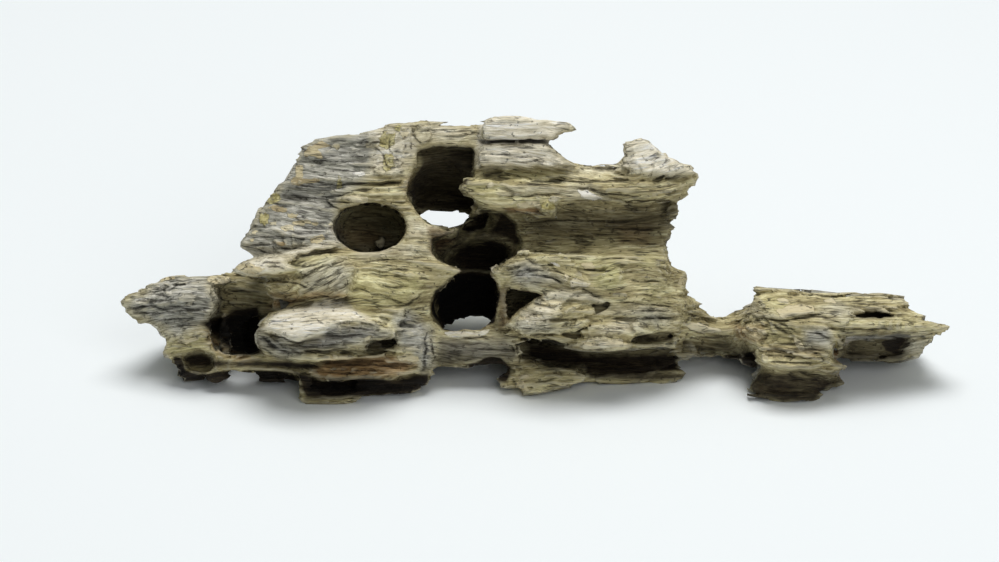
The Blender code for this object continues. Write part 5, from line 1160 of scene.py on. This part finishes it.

# Painted shade in the cracks, worn edges paler, and painted shade in shelter: browner, dark brown, and
# black where deepest
# Painted shade: the colour is darkened browner where the rays found little open air and where the wood
# closes in all round
shade = add_node(RANGE, {}, {0: kept["open"], 1: 0.45, 2: 0.06, 4: 0.45})
share = add_node(RANGE, {}, {0: kept["bulge"], 1: 0.08, 2: 0.3, 4: 0.5})
shade = add_node(MATH, TOP, {0: shade, 1: share})
worn = add_node(RANGE, {}, {0: kept["crease"], 1: -0.05, 2: -0.2, 4: 0.5})
# Painted shade laid out on the sheet and by chance turns the colour dark brown, and black where it is laid
# strongest
shade_share = add_node(MATH, MORE, {0: noise["patches"], 1: 0.4, 2: kept["soot"]})
shade_share = add_node(RANGE, {}, {0: shade_share, 1: 0.25, 2: 1.2})
deepest_shade = add_node(RANGE, {}, {0: kept["soot"], 1: 1.0, 2: 2.0})
shade_colour = add_node(RAMP, {"stops": ((0.0, "#15110b"), (0.5, "#271f14"), (1.0, "#4a3f2b"))}, {0: streak})
for share, tint, way in (
    (shaded_cracks, srgb("#1d1810"), OVER),
    (worn, srgb("#d6ceb2"), OVER),
    (shade, srgb("#2a2216"), DARKEN),
    (shade_share, shade_colour, OVER),
    (deepest_shade, srgb("#060605"), OVER),
):
    colour = add_node(MIX, way, {0: share, 6: colour, 7: tint}, 2)

# What is too fine to model: the fibres stand proud, cracks are sunk, and lichen lies on top,
# all within eight tenths of a millimetre
height = 0.0
for value, part in (
    (streak, 0.5),
    (noise["hairs"], 0.5),
    (shaded_cracks, -0.7),
    (chip_share, 0.4),
    (crust_share, 0.8),
):
    height = add_node(MATH, MORE, {0: value, 1: part, 2: height})
bump = add_node("ShaderNodeBump", {}, {"Strength": 1.0, "Distance": 0.0008, "Height": height})
shader = tree.nodes["Principled BSDF"]
tree.links.new(colour, shader.inputs["Base Color"])
tree.links.new(bump, shader.inputs["Normal"])
shader.inputs["Roughness"].default_value = 0.82
shader.inputs["Specular IOR Level"].default_value = 0.25
wood.data.materials.append(weathered)
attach(wood, "root")
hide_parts("honeycomb_wood")

# The stage: a plain pale sheet of paper, wide enough to fill the view from any side, under a
# soft overhead box, a front fill and a wash from behind, in a pale room
HALF_FLOOR = 6.0
floor_mesh = bpy.data.meshes.new("pale_floor")
floor = bpy.data.objects.new("pale_floor", floor_mesh)
bpy.context.collection.objects.link(floor)
corners = [(x * HALF_FLOOR, y * HALF_FLOOR, 0.0) for x, y in ((-1, -1), (1, -1), (1, 1), (-1, 1))]
floor_mesh.from_pydata(corners, [], [(0, 1, 2, 3)])
paper = bpy.data.materials.new("matt_paper")
paper.use_nodes = True
paper_shader = paper.node_tree.nodes["Principled BSDF"]
paper_shader.inputs["Base Color"].default_value = srgb("#f2f6f7")
paper_shader.inputs["Roughness"].default_value = 0.9
floor_mesh.materials.append(paper)

sky = bpy.data.worlds.new("soft_room")
sky.use_nodes = True
backdrop = sky.node_tree.nodes["Background"]
backdrop.inputs["Color"].default_value = srgb("#f4fafb")
backdrop.inputs["Strength"].default_value = 0.24
bpy.context.scene.world = sky


def add_light(name, size, place, aim, power):
    """A square soft light of a size, aimed at a point."""
    lamp = bpy.data.lights.new(name, "AREA")
    lamp.size = size
    lamp.energy = power
    light = bpy.data.objects.new(name, lamp)
    light.location = place
    light.rotation_euler = (Vector(aim) - Vector(place)).to_track_quat("-Z", "Y").to_euler()
    bpy.context.collection.objects.link(light)


add_light("overhead_box", 0.9, (0.05, 0.15, 1.4), (0.0, 0.0, 0.0), 15.0)
add_light("front_fill", 1.2, (0.7, -1.5, 1.0), (0.0, 0.0, 0.03), 7.6)
add_light("back_wash", 1.6, (0.0, 0.9, 1.9), (0.0, 0.9, 0.0), 3.0)

# The camera stands where the marks were laid out from, with a long lens
lens = bpy.data.cameras.new("camera")
lens.lens = 180.0
lens.sensor_width = 36.0
lens.clip_end = 20.0
camera = bpy.data.objects.new("camera", lens)
camera.location = VIEW_EYE * 0.001
camera.rotation_euler = Vector(VIEW_LOOK).to_track_quat("-Z", "Y").to_euler()
bpy.context.collection.objects.link(camera)
bpy.context.scene.camera = camera
bpy.context.scene.view_settings.view_transform = "Standard"
